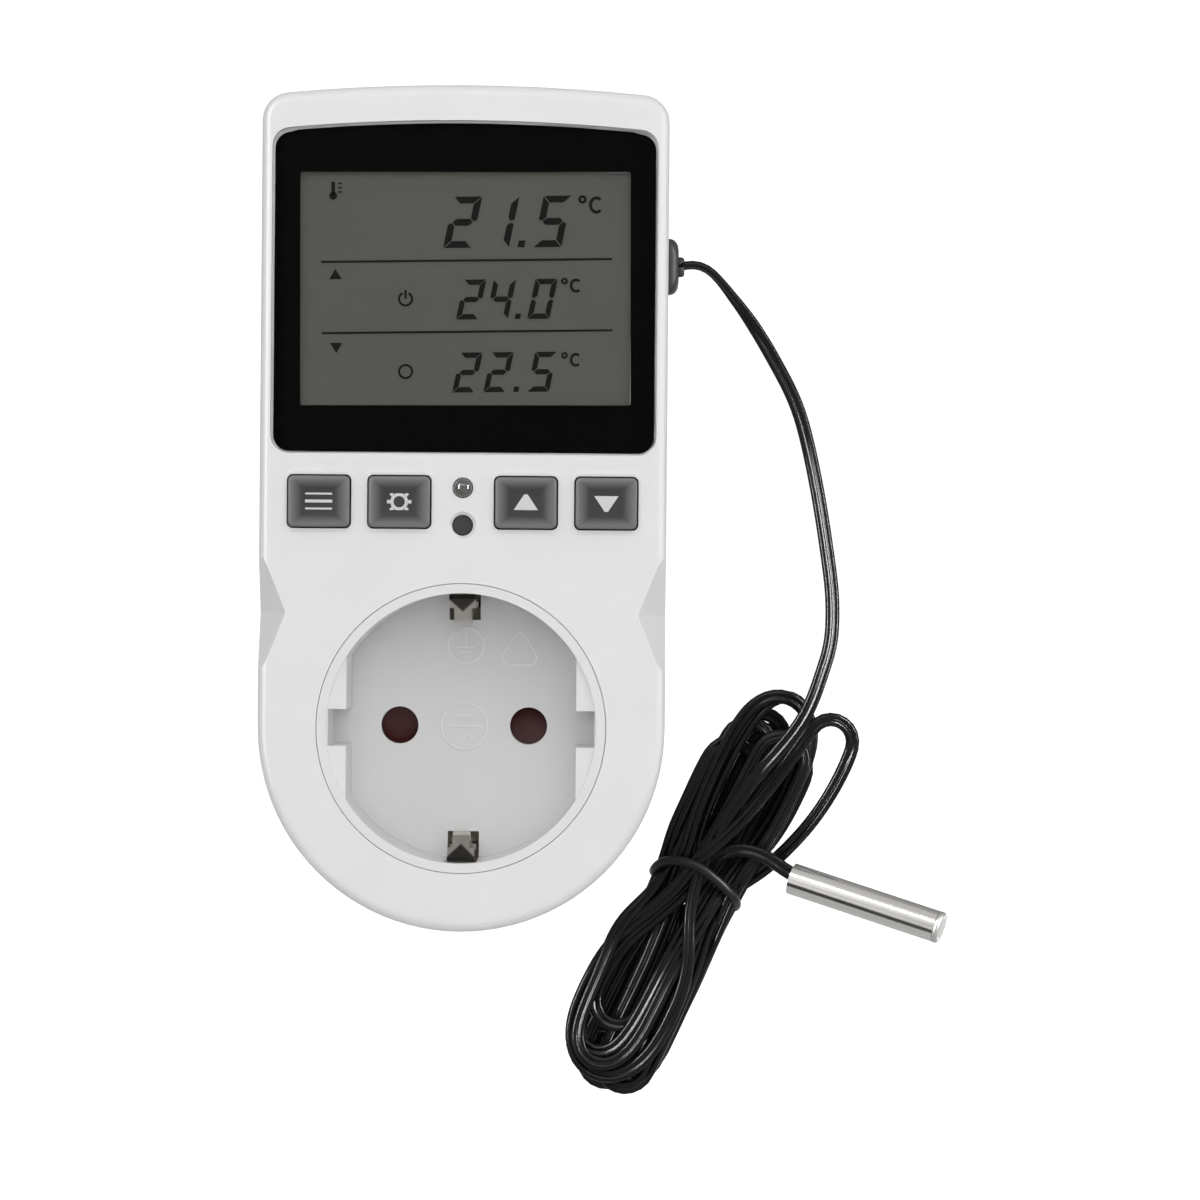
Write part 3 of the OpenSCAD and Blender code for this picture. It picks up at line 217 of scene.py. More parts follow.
LOOKS = {
    "shell": material("shell_white", grey(0.85), 0.42, bump=0.2, vary=0.01, specular=0.35),
    # The seam's dark grey is painted shadow for the gap between the shells
    "seam": material("seam_shadow_grey", grey(0.2), 0.8, specular=0.1),
    "socket": by_depth(material("socket_white", grey(0.83), 0.38, bump=0.12, vary=0.01, specular=0.35),
                       front=grey(0.83), deep=grey(0.7), start=SOCKET_FRONT, end=SOCKET_DEEP),
    "sign": material("sign_white", grey(0.83), 0.5, specular=0.3, vary=0.01),
    "mask": material("mask_black", grey(0.001), 0.5, specular=0.02, vary=0.1),
    "clear": material("window_clear", grey(0.01), 0.05, specular=0.16, alpha=0.1, rough_vary=0.01),
    "lcd": material("lcd_grey", (0.142, 0.14, 0.124), 0.6, specular=0.15, vary=0.03, vary_scale=40),
    "figures": material("lcd_figures", (0.006, 0.006, 0.005), 0.5, specular=0.1),
    # The key caps' lighter edges are a painted highlight
    "key": edge_lit(material("key_grey", grey(0.085), 0.5, bump=0.25, vary=0.06, specular=0.25),
                    middle=grey(0.033), edge=grey(0.19), start=0.24),
    "key_side": material("key_side", grey(0.03), 0.5, specular=0.2),
    "key_mark": material("key_mark", grey(0.66), 0.5),
    "reset": material("reset_black", grey(0.022), 0.4, bump=0.2),
    "lamp": material("lamp_grey", (0.11, 0.11, 0.104), 0.12, coat=0.5, coat_rough=0.05),
    "shutter": material("shutter_red", (0.07, 0.016, 0.017), 0.3, vary=0.1, specular=0.3),
    "cord": material("cord_black", grey(0.005), 0.22, specular=0.27, bump=0.1, bump_scale=900, vary=0.2),
    "tie": material("tie_black", grey(0.008), 0.4, specular=0.35, vary=0.2),
    "rubber": material("rubber_black", grey(0.042), 0.5, specular=0.4, bump=0.2, vary=0.15),
    "probe": material("probe_steel", (0.78, 0.762, 0.74), 0.15, metal=1.0, stretch=(40, 1, 1),
                      turn=PROBE_TURN, vary=0.1, vary_scale=1500, bump=0.1, rough_vary=0.05),
    "probe_end": material("probe_satin", (0.6, 0.59, 0.575), 0.42, metal=1.0, vary=0.08, bump=0.1,
                          bump_scale=1800),
    "nickel": material("nickel", (0.50, 0.47, 0.43), 0.3, metal=1.0, vary=0.08, bump=0.1, bump_scale=900),
    # The earth tongues' darker tips are painted shade from the recess
    "earth": painted_tip_shade(material("earth_nickel", (0.56, 0.53, 0.49), 0.32, metal=1.0, vary=0.1, bump=0.12,
                             bump_scale=900),
                    slant=0.9, start=16.6, end=17.1, share=0.93, shade_colour=(0.02, 0.018, 0.016)),
    "brass": material("brass", (0.72, 0.52, 0.22), 0.3, metal=1.0, vary=0.08),
    "steel": material("screw_steel", grey(0.6), 0.32, metal=1.0, vary=0.08),
    "potting": material("potting_black", grey(0.015), 0.6, vary=0.15),
    "board": material("board_green", (0.02, 0.16, 0.05), 0.35, coat=0.4, vary=0.12),
    "dark": material("dark_moulding", grey(0.03), 0.5, vary=0.12),
    "ivory": material("ivory_moulding", (0.72, 0.68, 0.55), 0.45),
    "relay": material("relay_blue", (0.03, 0.08, 0.35), 0.4),
    "film": material("film_yellow", (0.65, 0.42, 0.05), 0.4),
    "sleeve": material("sleeve_navy", (0.02, 0.02, 0.08), 0.3),
    "varistor": material("varistor_blue", (0.04, 0.12, 0.3), 0.45),
    "base": material("base_beige", (0.6, 0.54, 0.44), 0.5),
    "zebra": material("zebra_pink", (0.6, 0.35, 0.38), 0.6),
}

# The CAD nodes that wear each material
WORN_BY = {
    "shell": "front_shell rear_shell",
    "socket": "socket_cup",
    "lamp": "status_lamp",
    "reset": "reset_button",
    "clear": "display_window",
    "lcd": "lcd_glass",
    "ivory": "lcd_frame board_link sensor_connector",
    "zebra": "zebra_strips",
    "board": "display_board power_board",
    "dark": "controller_chip tact_switches mode_plunger set_plunger up_plunger down_plunger reset_plunger "
            "thermistor_bead",
    "key_side": "mode_key set_key up_key down_key",
    "relay": "relay",
    "film": "film_capacitor",
    "sleeve": "smoothing_capacitor",
    "varistor": "varistor",
    "shutter": "shutter",
    "base": "contact_base",
    "earth": "earth_bracket",
    "nickel": "plug_earth_strips line_pin neutral_pin",
    "brass": "line_contact neutral_contact line_strip",
    "rubber": "cord_grommet",
    "cord": "cord_tail probe_cord cord_hank probe_lead",
    "tie": "cord_tie",
    "steel": "shutter_spring housing_screws display_screws power_screws",
    "probe": "probe_tube",
    "potting": "probe_potting",
}


def dress(obj, look):
    obj.data.materials.clear()
    obj.data.materials.append(LOOKS[look])


for look, nodes in WORN_BY.items():
    for node in nodes.split():
        dress(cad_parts[node], look)


def box_of(node):
    """The lowest and highest corner of a CAD node, in millimetres."""
    low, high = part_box(node)
    return np.array(low) / MM, np.array(high) / MM


# Softened edges of CAD nodes

SOFT_WIDTHS = {
    0.22: "front_shell rear_shell",
    0.2: "socket_cup reset_button shutter earth_bracket",
    0.12: "mode_key set_key up_key down_key display_window",
}


def soften(obj, width):
    """Rounds the sharp edges of a CAD node and shades the rest smooth."""
    obj.data.shade_smooth()
    flat = obj.modifiers.new("flat", "DECIMATE")
    flat.decimate_type = "DISSOLVE"
    flat.angle_limit = math.radians(0.3)
    edge = obj.modifiers.new("edge", "BEVEL")
    edge.width = width * MM
    edge.segments = 2
    edge.limit_method = "ANGLE"
    edge.angle_limit = math.radians(28)
    edge.harden_normals = False
    shade = obj.modifiers.new("shade", "WEIGHTED_NORMAL")
    shade.keep_sharp = True


for width, nodes in SOFT_WIDTHS.items():
    for node in nodes.split():
        soften(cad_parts[node], width)

# Meshes


def new_mesh(name, verts, faces, look, body="housing", smooth=True, slot=None):
    """A piece from points in millimetres, which rides on a body."""
    mesh = bpy.data.meshes.new(name)
    mesh.from_pydata([tuple(c * MM for c in v) for v in verts], [], [tuple(f) for f in faces])
    form = bmesh.new()
    form.from_mesh(mesh)
    bmesh.ops.recalc_face_normals(form, faces=form.faces)
    form.to_mesh(mesh)
    form.free()
    obj = bpy.data.objects.new(name, mesh)
    scene.collection.objects.link(obj)
    dress(obj, look)
    if smooth:
        mesh.shade_smooth()
    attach(obj, body)
    return obj


def tube_mesh(name, rings, look, closed=False, **more):
    """Sweeps rings of equal point count into a closed skin; a tube that isn't closed gets lids."""
    sides, count = len(rings[0]), len(rings)
    verts = [p for r in rings for p in r]
    faces = []
    for i in range(count if closed else count - 1):
        a, b = i * sides, ((i + 1) % count) * sides
        for j in range(sides):
            k = (j + 1) % sides
            faces.append((a + j, a + k, b + k, b + j))
    if not closed:
        faces += [tuple(range(sides - 1, -1, -1)), tuple((count - 1) * sides + j for j in range(sides))]
    return new_mesh(name, verts, faces, look, **more)


def plate(name, shapes, front, back, look, **more):
    """Thin raised figures in the picture plane, joined into one piece."""
    verts, faces = [], []
    for outline in shapes:
        n, start = len(outline), len(verts)
        verts += [(x, front, z) for x, z in outline] + [(x, back, z) for x, z in outline]
        faces.append([start + k for k in range(n)])
        faces.append([start + 2 * n - 1 - k for k in range(n)])
        faces += [(start + n + k, start + n + (k + 1) % n, start + (k + 1) % n, start + k) for k in range(n)]
    return new_mesh(name, verts, faces, look, smooth=False, **more)


# Flat outlines, and figures made of them: a figure is a list of outlines


def arc(cx, cz, r, a0, a1, n):
    """Points of an arc in the picture plane, from angle a0 to a1 in degrees."""
    return [(cx + r * math.cos(a), cz + r * math.sin(a)) for a in np.radians(np.linspace(a0, a1, n + 1))]


def rounded(w, h, r, steps):
    """A rounded rectangle about the origin, from the lower right corner on."""
    return (arc(w / 2 - r, -h / 2 + r, r, -90, 0, steps) + arc(w / 2 - r, h / 2 - r, r, 0, 90, steps)
            + arc(-w / 2 + r, h / 2 - r, r, 90, 180, steps) + arc(-w / 2 + r, -h / 2 + r, r, 180, 270, steps))


def turned(points, at, degrees):
    """Points of a figure moved to a place and turned about it."""
    c, s = math.cos(math.radians(degrees)), math.sin(math.radians(degrees))
    return [(at[0] + u * c - v * s, at[1] + u * s + v * c) for u, v in points]


def fill(outline):
    """A flat figure inside one outline."""
    return [list(outline)]


def line(points, width, closed=False):
    """A flat line of even width, as one outline for each of its pieces."""
    p = [np.array(v, float) for v in points]
    n = len(p)
    sides = []
    for i in range(n):
        a = p[(i - 1) % n] if closed or i else p[i]
        b = p[(i + 1) % n] if closed or i < n - 1 else p[i]
        t = (b - a) / np.linalg.norm(b - a)
        if 0 < i < n - 1 or closed:
            before = (p[i] - p[(i - 1) % n]) / np.linalg.norm(p[i] - p[(i - 1) % n])
            reach = min(2.0, 1 / max(0.3, float(t @ before)))
        else:
            reach = 1
        out = np.array([-t[1], t[0]]) * width / 2 * reach
        sides.append((p[i] + out, p[i] - out))
    spans = range(n if closed else n - 1)
    return [[sides[i][1], sides[(i + 1) % n][1], sides[(i + 1) % n][0], sides[i][0]] for i in spans]


def ring(x, z, r, width, steps):
    return line(arc(x, z, r, 0, 360, steps)[:-1], width, closed=True)


# Lines in space


def unit(v):
    """Vectors of length 1, one or a list of them."""
    return v / np.linalg.norm(v, axis=-1, keepdims=True)


def ramp(u, a, b):
    """A smooth step from 0 at a to 1 at b."""
    u = np.clip((u - a) / (b - a), 0, 1)
    return u * u * (3 - 2 * u)


def through(points, step):
    """A smooth line through points, sampled about every step millimetres."""
    p = np.asarray(points, float)
    out = []
    for i in range(len(p) - 1):
        a = 2 * p[0] - p[1] if i == 0 else p[i - 1]
        b, c = p[i], p[i + 1]
        d = 2 * p[-1] - p[-2] if i == len(p) - 2 else p[i + 2]
        n = max(2, int(np.linalg.norm(c - b) / step))
        for k in range(n):
            u = k / n
            square = (2 * a - 5 * b + 4 * c - d) * u * u / 2
            cube = (3 * b - a - 3 * c + d) * u ** 3 / 2
            out.append(b + (c - a) * u / 2 + square + cube)
    return np.array(out + [p[-1]])


def around(steps):
    """The angles of a circle's points."""
    return np.linspace(0, 2 * math.pi, steps + 1)[:-1]


def run_along(points):
    """How far each point of a line is from its start."""
    return np.concatenate([[0], np.cumsum(np.linalg.norm(np.diff(points, axis=0), axis=1))])


def evenly(points, step):
    """The same line with points at equal distances of about step."""
    run = run_along(points)
    at = np.linspace(0, run[-1], max(2, int(round(run[-1] / step))) + 1)
    return np.stack([np.interp(at, run, points[:, k]) for k in range(3)], axis=1)


# Cord: free cord, hank and lead to the probe in one line

CORD_W, CORD_T = 2.1, 1.08
LEAN = math.radians(25)
HANK = np.array([33.7, -36.2, -25.5])
UP = np.array([math.sin(LEAN), 0, math.cos(LEAN)])
RIGHT = np.array([math.cos(LEAN), 0, -math.sin(LEAN)])
BACK = np.array([0.0, 1.0, 0.0])
# How far up the hank the tie is
GATE = 1.8

CORD_ROUTE = [[31.2, -35, 68.4], [33.5, -35, 68.8], [36, -35, 67.8], [38.5, -35, 65], [42, -35, 60.4],
              [45.3, -35.5, 55], [48.4, -36.5, 49], [50.2, -37.5, 43.5], [52, -39, 35], [53.5, -40.5, 25.5],
              [54.2, -41.6, 19], [54, -42.6, 13], [52.8, -43.3, 8.5], [51, -43.8, 3.5], [49, -44, 0],
              [46.2, -44.1, -3.5], [43.6, -43.8, -6.5], [41.2, -43.2, -9.7], [39, -42.4, -13],
              [36.8, -41.4, -16.6], [35.0, -40.6, -19.8]]
# The lead from the last strand to the probe, as right, up and back in the hank
LEAD_ROUTE = [(-0.4, 3.4, -2.8), (0.2, 5.6, -3.4), (0.9, 7.5, -4.2), (2.2, 9.1, -5.0), (4.1, 10.1, -5.6),
              (6.3, 10.5, -5.8), (8.4, 10.4, -5.7), (10.2, 10.1, -5.5)]
# The loose loop beside the others, up its left leg and down its right one, and where the cord passes the tie
# after it
LOOSE = [(-2.2, 1.8, -4.2), (-1.0, 5.0, -4.9), (0.1, 8.2, -5.3), (1.5, 12.6, -5.6), (2.8, 17.4, -5.8),
         (3.9, 22.2, -5.7), (4.7, 27.2, -5.3), (5.4, 32.2, -4.7), (6.8, 36.0, -4.0), (9.0, 37.4, -3.3),
         (11.2, 35.7, -2.6), (12.3, 32.2, -2.1), (12.5, 27.6, -1.7), (12.3, 22.6, -1.4), (11.7, 17.8, -1.2),
         (10.3, 13.6, -1.0), (8.8, 9.8, -0.8), (7.2, 6.4, -0.6), (5.6, 3.8, -0.6)]
AFTER_LOOSE = (4.0, -0.6)

# The end of a loop: how far right its first leg, tip and last leg lie, how far the tip reaches from the
# middle of the hank, where the legs start to close, and how far back the first and the last leg lie
LoopEnd = namedtuple("LoopEnd", "first tip last reach close first_back last_back")
LOWS = [LoopEnd(*values) for values in (
    (5.0, -1.8, -8.4, 30.8, 12, -3.4, -2.6), (5.4, 2.6, -1.8, 36.4, 25, -1.2, -0.2),
    (6.2, 3.4, -0.6, 34.6, 26, -0.2, 0.8), (2.0, -3.0, -7.8, 29.8, 12, -3.8, -3.2),
    (3.0, -0.6, -4.8, 35.0, 22, 1.2, 1.0), (6.0, 3.6, 0.2, 33.2, 26, 0.4, 1.6),
    (0.8, -3.8, -8.2, 28.6, 13, -3.4, -1.6), (1.6, -2.0, -5.6, 33.8, 26, 2.4, 2.2),
    (4.8, 1.4, -2.8, 35.2, 20, 2.8, 3.0), (-1.6, -4.0, -7.0, 31.2, 22, 3.2, 3.0),
    (3.8, 0.6, -2.6, 34.4, 27, 3.8, 3.6), (0.6, -3.2, -7.4, 28.0, 14, -3.0, -2.2))]
HIGHS = [LoopEnd(*values) for values in (
    (-5.4, 0.6, 7.4, 34.6, 19, -2.4, -1.0), (-3.8, 1.4, 6.2, 35.2, 21, -1.4, 0.2),
    (-5.8, -2.0, 1.6, 32.2, 18, -0.4, 0.6), (-0.6, 3.2, 7.0, 33.2, 21, -3.0, -2.0),
    (-4.6, -0.8, 3.2, 34.4, 20, 0.8, 1.6), (0.6, 4.2, 8.0, 31.2, 20, 1.0, 0.6),
    (-6.6, -3.0, 0.8, 28.2, 17, -2.2, 0.2), (-2.2, 1.4, 5.0, 34.6, 22, 2.2, 2.4),
    (-4.2, -0.2, 3.6, 33.2, 24, 3.2, 3.0), (-2.4, 0.8, 4.4, 30.8, 20, 3.4, 3.6))]
LEG_STEPS = 26
# How round a tip is, how quickly its curve starts, and how far from the tie a leg has reached its place
ROUNDER, TIP_POWER = 1.2, 2.2
FANNED, DEEP_AT = 13, 11
# At the tie, legs lie this share of the way between their two halves, and no further out than this
WAIST_SHARE, WAIST_HALF = 0.42, 5.2
WAIST_BACK_SHARE, WAIST_BACK = 0.5, 3.0


def in_hank(right, up, back):
    return HANK + RIGHT * right + UP * up + BACK * back


def leg(sign, end, is_last, gate):
    """One leg of a loop's end, in the cord's order.

    Sign is 1 for a high end and -1 for a low one, and gate is the leg's place at the tie.
    """
    side, far_back = (end.last, end.last_back) if is_last else (end.first, end.first_back)
    waist, gate_back = gate
    reach = end.reach - sign * GATE
    close = max(end.close, reach - ROUNDER * abs(side - end.tip) - 1)
    points = []
    for k in range(LEG_STEPS):
        up = reach * k / LEG_STEPS
        if up < close:
            right = waist + (side - waist) * float(ramp(up, 0, min(close, FANNED)))
        else:
            bend = 1 - ((up - close) / (reach - close)) ** TIP_POWER
            right = end.tip + (side - end.tip) * math.sqrt(bend)
        back = gate_back + (far_back - gate_back) * float(ramp(up, 0, DEEP_AT))
        points.append(in_hank(right, GATE + sign * up, back))
    return points[::-1] if is_last else points


def turn_back(sign, end, gate_in, gate_out):
    """A loop's end: out along its first leg, past the tip and back along its last leg."""
    reach = end.reach - sign * GATE
    tip = in_hank(end.tip, GATE + sign * reach, (end.first_back + end.last_back) / 2)
    return leg(sign, end, False, gate_in) + [tip] + leg(sign, end, True, gate_out)


def gate_between(before, after):
    """Where the cord passes the tie, right and back, from one end of a loop to the next."""
    right = np.clip(WAIST_SHARE * (before.last + after.first), -WAIST_HALF, WAIST_HALF)
    back = np.clip(WAIST_BACK_SHARE * (before.last_back + after.first_back), -WAIST_BACK, WAIST_BACK)
    return float(right), float(back)


def loops(arrival):
    """The hank before it settles: the first low end, the loose loop, then low and high ends in turn."""
    gate = (LOOSE[0][0], LOOSE[0][2])
    points = turn_back(-1, LOWS[0], arrival, gate)
    points += list(through([in_hank(*p) for p in LOOSE], step=1.3))
    gate = AFTER_LOOSE
    for low, high, next_low in zip(LOWS[1:], HIGHS, LOWS[2:]):
        low_gate = gate_between(low, high)
        points += turn_back(-1, low, gate, low_gate)
        gate = gate_between(high, next_low)
        points += turn_back(1, high, low_gate, gate)[1:-1]
    points += turn_back(-1, LOWS[-1], gate, (LEAD_ROUTE[0][0], LEAD_ROUTE[0][2]))[:-1]
    return np.array(points)


# How much of the wide axis follows the picture plane from one point to the next
FOLLOW = 0.35


def twin_axes(points, twist):
    """The wide and thin axis of the flat cord at each point: wide across the line as seen, plus a twist."""
    t = unit(np.gradient(points, axis=0))
    wide_axes, thin_axes = [], []
    last = None
    for i in range(len(points)):
        wide = np.cross(t[i], BACK)
        if last is not None:
            keep = unit(last - t[i] * (last @ t[i]))
            if np.linalg.norm(wide) < 0.5:
                wide = keep
            wide = unit(wide)
            if wide @ keep < 0:
                wide = -wide
            wide = wide * FOLLOW + keep * (1 - FOLLOW)
        wide = unit(wide)
        last = wide
        thin = np.cross(t[i], wide)
        wide_axes.append(wide * math.cos(twist[i]) + thin * math.sin(twist[i]))
        thin_axes.append(thin * math.cos(twist[i]) - wide * math.sin(twist[i]))
    return np.array(wide_axes), np.array(thin_axes)


# Settling of the cord

SETTLE_ROUNDS = 150
# The flat cord's axes are found anew once in so many rounds
AXES_EVERY = 10
# Points closer than this along the cord don't push each other
NEIGHBOURS = 5
# Strands touch at this share of their real size, and a point pushed by several moves by a share of the sum
FIT, SHARED = 0.98, 0.6
# The tie's inside, right and back, half the height over which it draws in, and where its pull would end
TIED_HALF = (6.1, 4.1)
TIED_UP, TIED_FADE = 4, 7
# How firmly points are held to where they started, at first and after a share of the rounds
HOLD, LATE_HOLD, LATE = 0.03, 0.008, 0.75
# How much of a bend and of a wrong length goes in one round
EASE, STIFF = 0.14, 0.3
# The cord stays between these depths in front of and behind the hank's middle, unless it started nearer the
# camera
FRONT_MOST, BACK_MOST = 4.6, 5.4
# At the end every bend is eased by a share, then only bends tighter than a radius, by another share
SMOOTH_ROUNDS, ALL_ROUNDS = 110, 6
ALL_SHARE, TIGHT_SHARE = 0.3, 0.5
TIGHTEST = 3.4


def push_apart(p, wide, thin, near, free):
    """Moves strands that overlap away from each other, as their flat outlines need."""
    d = p[:, None, :] - p[None, :, :]
    far = np.einsum("ijk,ijk->ij", d, d)
    far[near] = np.inf
    i, j = np.nonzero(np.triu(far < CORD_W ** 2))
    v = d[i, j]
    gap = np.sqrt(far[i, j]) + 1e-6
    v /= gap[:, None]
    need = 0
    for k in (i, j):
        need = need + np.sqrt((CORD_W / 2 * np.einsum("ij,ij->i", v, wide[k])) ** 2
                              + (CORD_T / 2 * np.einsum("ij,ij->i", v, thin[k])) ** 2)
    hit = gap < need * FIT
    push = v[hit] * ((need * FIT - gap)[hit] * 0.5)[:, None]
    move, count = np.zeros_like(p), np.zeros(len(p))
    for k, way in ((i[hit], 1), (j[hit], -1)):
        np.add.at(move, k, push * way)
        np.add.at(count, k, 1)
    p += move / np.maximum(1, count * SHARED)[:, None] * free


def draw_in(p, pinned):
    """Draws the strands into the tie's oval."""
    rel = p - HANK
    up, right, back = rel @ UP, rel @ RIGHT, rel @ BACK
    tied = (np.abs(up - GATE) < TIED_UP) & ~pinned
    k = np.sqrt((right / TIED_HALF[0]) ** 2 + (back / TIED_HALF[1]) ** 2)
    pull = (1 - 1 / np.maximum(k, 1e-6)) * (1 - np.abs(up - GATE) / TIED_FADE)
    f = np.where(tied & (k > 1), pull, 0)
    p -= RIGHT[None] * (right * f)[:, None] + BACK[None] * (back * f)[:, None]


def ease_bends(p, free):
    """Eases the line, at first everywhere and then only where it bends too tightly."""
    for r in range(SMOOTH_ROUNDS):
        e = p[1:] - p[:-1]
        size = np.linalg.norm(e, axis=1)
        turn = np.arccos(np.clip((e[1:] * e[:-1]).sum(1) / (size[1:] * size[:-1]), -1, 1))
        too_tight = (turn > (size[1:] + size[:-1]) / 2 / TIGHTEST).astype(float)
        if r < ALL_ROUNDS:
            share = np.full(len(turn), ALL_SHARE)
        else:
            share = TIGHT_SHARE * np.minimum(np.convolve(too_tight, (0.5, 1, 0.5), "same"), 1)
        p[1:-1] += ((p[:-2] + p[2:]) / 2 - p[1:-1]) * (share * free[1:-1, 0])[:, None]


def settle(start, pinned, twist):
    """Pushes flat strands apart, draws them in at the tie and keeps them smooth and near their start."""
    p = start.copy()
    places = np.arange(len(p))
    near = np.abs(places[:, None] - places[None, :]) < NEIGHBOURS
    rest = np.linalg.norm(np.diff(p, axis=0), axis=1)
    front = np.minimum(start[:, 1], HANK[1] - FRONT_MOST)
    free = (~pinned)[:, None]
    for r in range(SETTLE_ROUNDS):
        if r % AXES_EVERY == 0:
            wide, thin = twin_axes(p, twist)
        push_apart(p, wide, thin, near, free)
        draw_in(p, pinned)
        hold = HOLD if r < SETTLE_ROUNDS * LATE else LATE_HOLD
        p += (start - p) * hold * free
        mid = (p[:-2] + p[2:]) / 2
        p[1:-1] += (mid - p[1:-1]) * EASE * free[1:-1]
        e = p[1:] - p[:-1]
        size = np.linalg.norm(e, axis=1)
        fix = e * ((size - rest) / np.maximum(size, 1e-6) * STIFF)[:, None]
        p[:-1] += fix * free[:-1]
        p[1:] -= fix * free[1:]
        p[:, 1] = np.clip(p[:, 1], front, HANK[1] + BACK_MOST)
    ease_bends(p, free)
    return p


# How far apart the points are that settle
STEP = 1.6
# The free cord and the lead to the probe keep their places over these shares of their length
FREE_KEPT, LEAD_KEPT = 0.9, 0.86
free_cord = through(CORD_ROUTE, step=0.8)
arrival = free_cord[-1] - HANK
hank_line = loops((float(arrival @ RIGHT), float(arrival @ BACK)))
probe_mouth = [PROBE_START + UP * 0.5, PROBE_START + PROBE_ALONG * 1.5 + UP * 0.5]
lead_line = through([in_hank(*p) for p in LEAD_ROUTE] + probe_mouth, step=0.8)
# A few points are left out where two parts meet, so that the line stays smooth there
joined = np.vstack([free_cord[:-4], hank_line[2:], lead_line])
joined = evenly(through(evenly(joined, step=2.4), step=0.6), STEP)
fixed = np.zeros(len(joined), bool)
fixed[:int(len(evenly(free_cord, STEP)) * FREE_KEPT)] = True
fixed[-int(run_along(lead_line)[-1] / STEP * LEAD_KEPT):] = True
along = np.arange(len(joined)) * STEP

# The cord leaves the grommet edge-on, lies flat along its free part, and wanders in the hank
KNOT_STEP, WANDER = 26.0, 0.7
EDGE_ON = math.radians(80)
# Where it starts to wander and where fully, how far before its end that fades, and where it turns flat
WANDERS, FADES, TURNS_FLAT = (95, 130), (34, 22), (6, 26)
knots = np.arange(0, along[-1] + 60, KNOT_STEP)
wander = np.interp(along, knots, rng.normal(0, WANDER, len(knots)))


def twist_at(s):
    """How far the flat cord is turned from lying flat to the picture."""
    in_bundle = ramp(s, *WANDERS) * (1 - ramp(s, along[-1] - FADES[0], along[-1] - FADES[1]))
    return np.interp(s, along, wander) * in_bundle + EDGE_ON * (1 - ramp(s, *TURNS_FLAT))


# Each conductor's side of the profile is an arc of this half angle
RIDGE_STEPS, RIDGE_HALF = 10, 150


def twin_rings(points, twist):
    """Rings of a figure of eight profile along a line."""
    wide, thin = twin_axes(points, twist)
    r = CORD_T / 2
    c = CORD_W / 2 - r
    profile = []
    for s in (1, -1):
        for a in np.radians(np.linspace(-RIDGE_HALF, RIDGE_HALF, RIDGE_STEPS + 1)):
            profile.append((s * (c + r * math.cos(a)), s * r * math.sin(a)))
    return [[p + w * u + h * v for u, v in profile] for p, w, h in zip(points, wide, thin)]


cord_line = evenly(through(settle(joined, fixed, twist_at(along)), step=0.8), step=1.1)
run = run_along(cord_line)
cable = tube_mesh("probe_cable", twin_rings(cord_line, twist_at(run * along[-1] / run[-1])), "cord",
                  slot="cord_jacket")
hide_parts("probe_cord", "cord_hank", "probe_lead")

# Tie: one round band about the waist, as right, up and back in the hank

TIE_ROUTE = [(-6.6, 1.5, 0), (-5.6, 3.6, -3.5), (-1.9, 4.9, -5.5), (2.0, 4.3, -5.5), (5.4, 3.1, -3.9),
             (6.6, 1.9, -0.2), (5.6, 1.2, 3.6), (0, 0.9, 5.4), (-5.4, 1.0, 3.8)]
TIE_R = 0.74
# The band is the middle one of two rounds, so that it closes smoothly
twice = through([in_hank(*p) for p in TIE_ROUTE + TIE_ROUTE + TIE_ROUTE[:1]], step=0.5)
quarter = len(twice) // 4
band = evenly(twice[quarter:quarter + len(twice) // 2 + 1], step=0.55)[:-1]
tie_rings = []
for p, t in zip(band, unit(np.roll(band, -1, 0) - np.roll(band, 1, 0))):
    out = unit(np.cross(t, UP))
    up = np.cross(out, t)
    tie_rings.append([p + (out * math.cos(b) + up * math.sin(b)) * TIE_R for b in around(16)])
tie = tube_mesh("tie_band", tie_rings, "tie", closed=True, slot="tie")
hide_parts("cord_tie")

# Probe: rolled rim at the closed end

PROBE_LEN = 23.6
PROBE_R = 2.35
# How far past the tube's end and inside its radius the rim's profile runs
RIM = [(-0.8, -0.005), (-0.35, -0.02), (-0.08, 0.08), (0.05, 0.3), (0.03, 0.5), (-0.02, 0.62), (0.02, 0.9),
       (0.04, 1.95)]
side_way = unit(np.cross(PROBE_ALONG, BACK))
far_way = np.cross(PROBE_ALONG, side_way)
rim_rings = [[PROBE_START + PROBE_ALONG * (PROBE_LEN + past)
              + (side_way * math.cos(b) + far_way * math.sin(b)) * (PROBE_R - inside)
              for b in around(48)] for past, inside in RIM]
tube_mesh("probe_rim", rim_rings, "probe_end", slot="probe_steel")

# Seam: a dark strip along the parting line, painted shadow for the gap between the two shells

SEAM_W, SEAM_PROUD, SEAM_DEEP = 0.26, 0.012, 0.15
PARTING_Y = box_of("front_shell")[1][1]
# How near the plane a point of the outline lies, and how far apart two of them are at least
AT_PLANE, APART = 0.05, 0.01


def parting_outline():
    """The body's outline at the parting plane, from the front shell's points there, and the way out of it."""
    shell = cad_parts["front_shell"]
    points = [shell.matrix_world @ v.co / MM for v in shell.data.vertices]
    points = [(v.x, v.z) for v in points if abs(v.y - PARTING_Y) < AT_PLANE]
    rim = np.array([points[k] for k in convex_hull_2d(points)])
    rim = rim[np.linalg.norm(rim - np.roll(rim, 1, 0), axis=1) > APART]
    ahead = unit(np.roll(rim, -1, 0) - rim)
    along_rim = unit(ahead + np.roll(ahead, 1, 0))
    away = np.stack([along_rim[:, 1], -along_rim[:, 0]], axis=1)
    return rim, away * np.sign(((rim - rim.mean(0)) * away).sum())


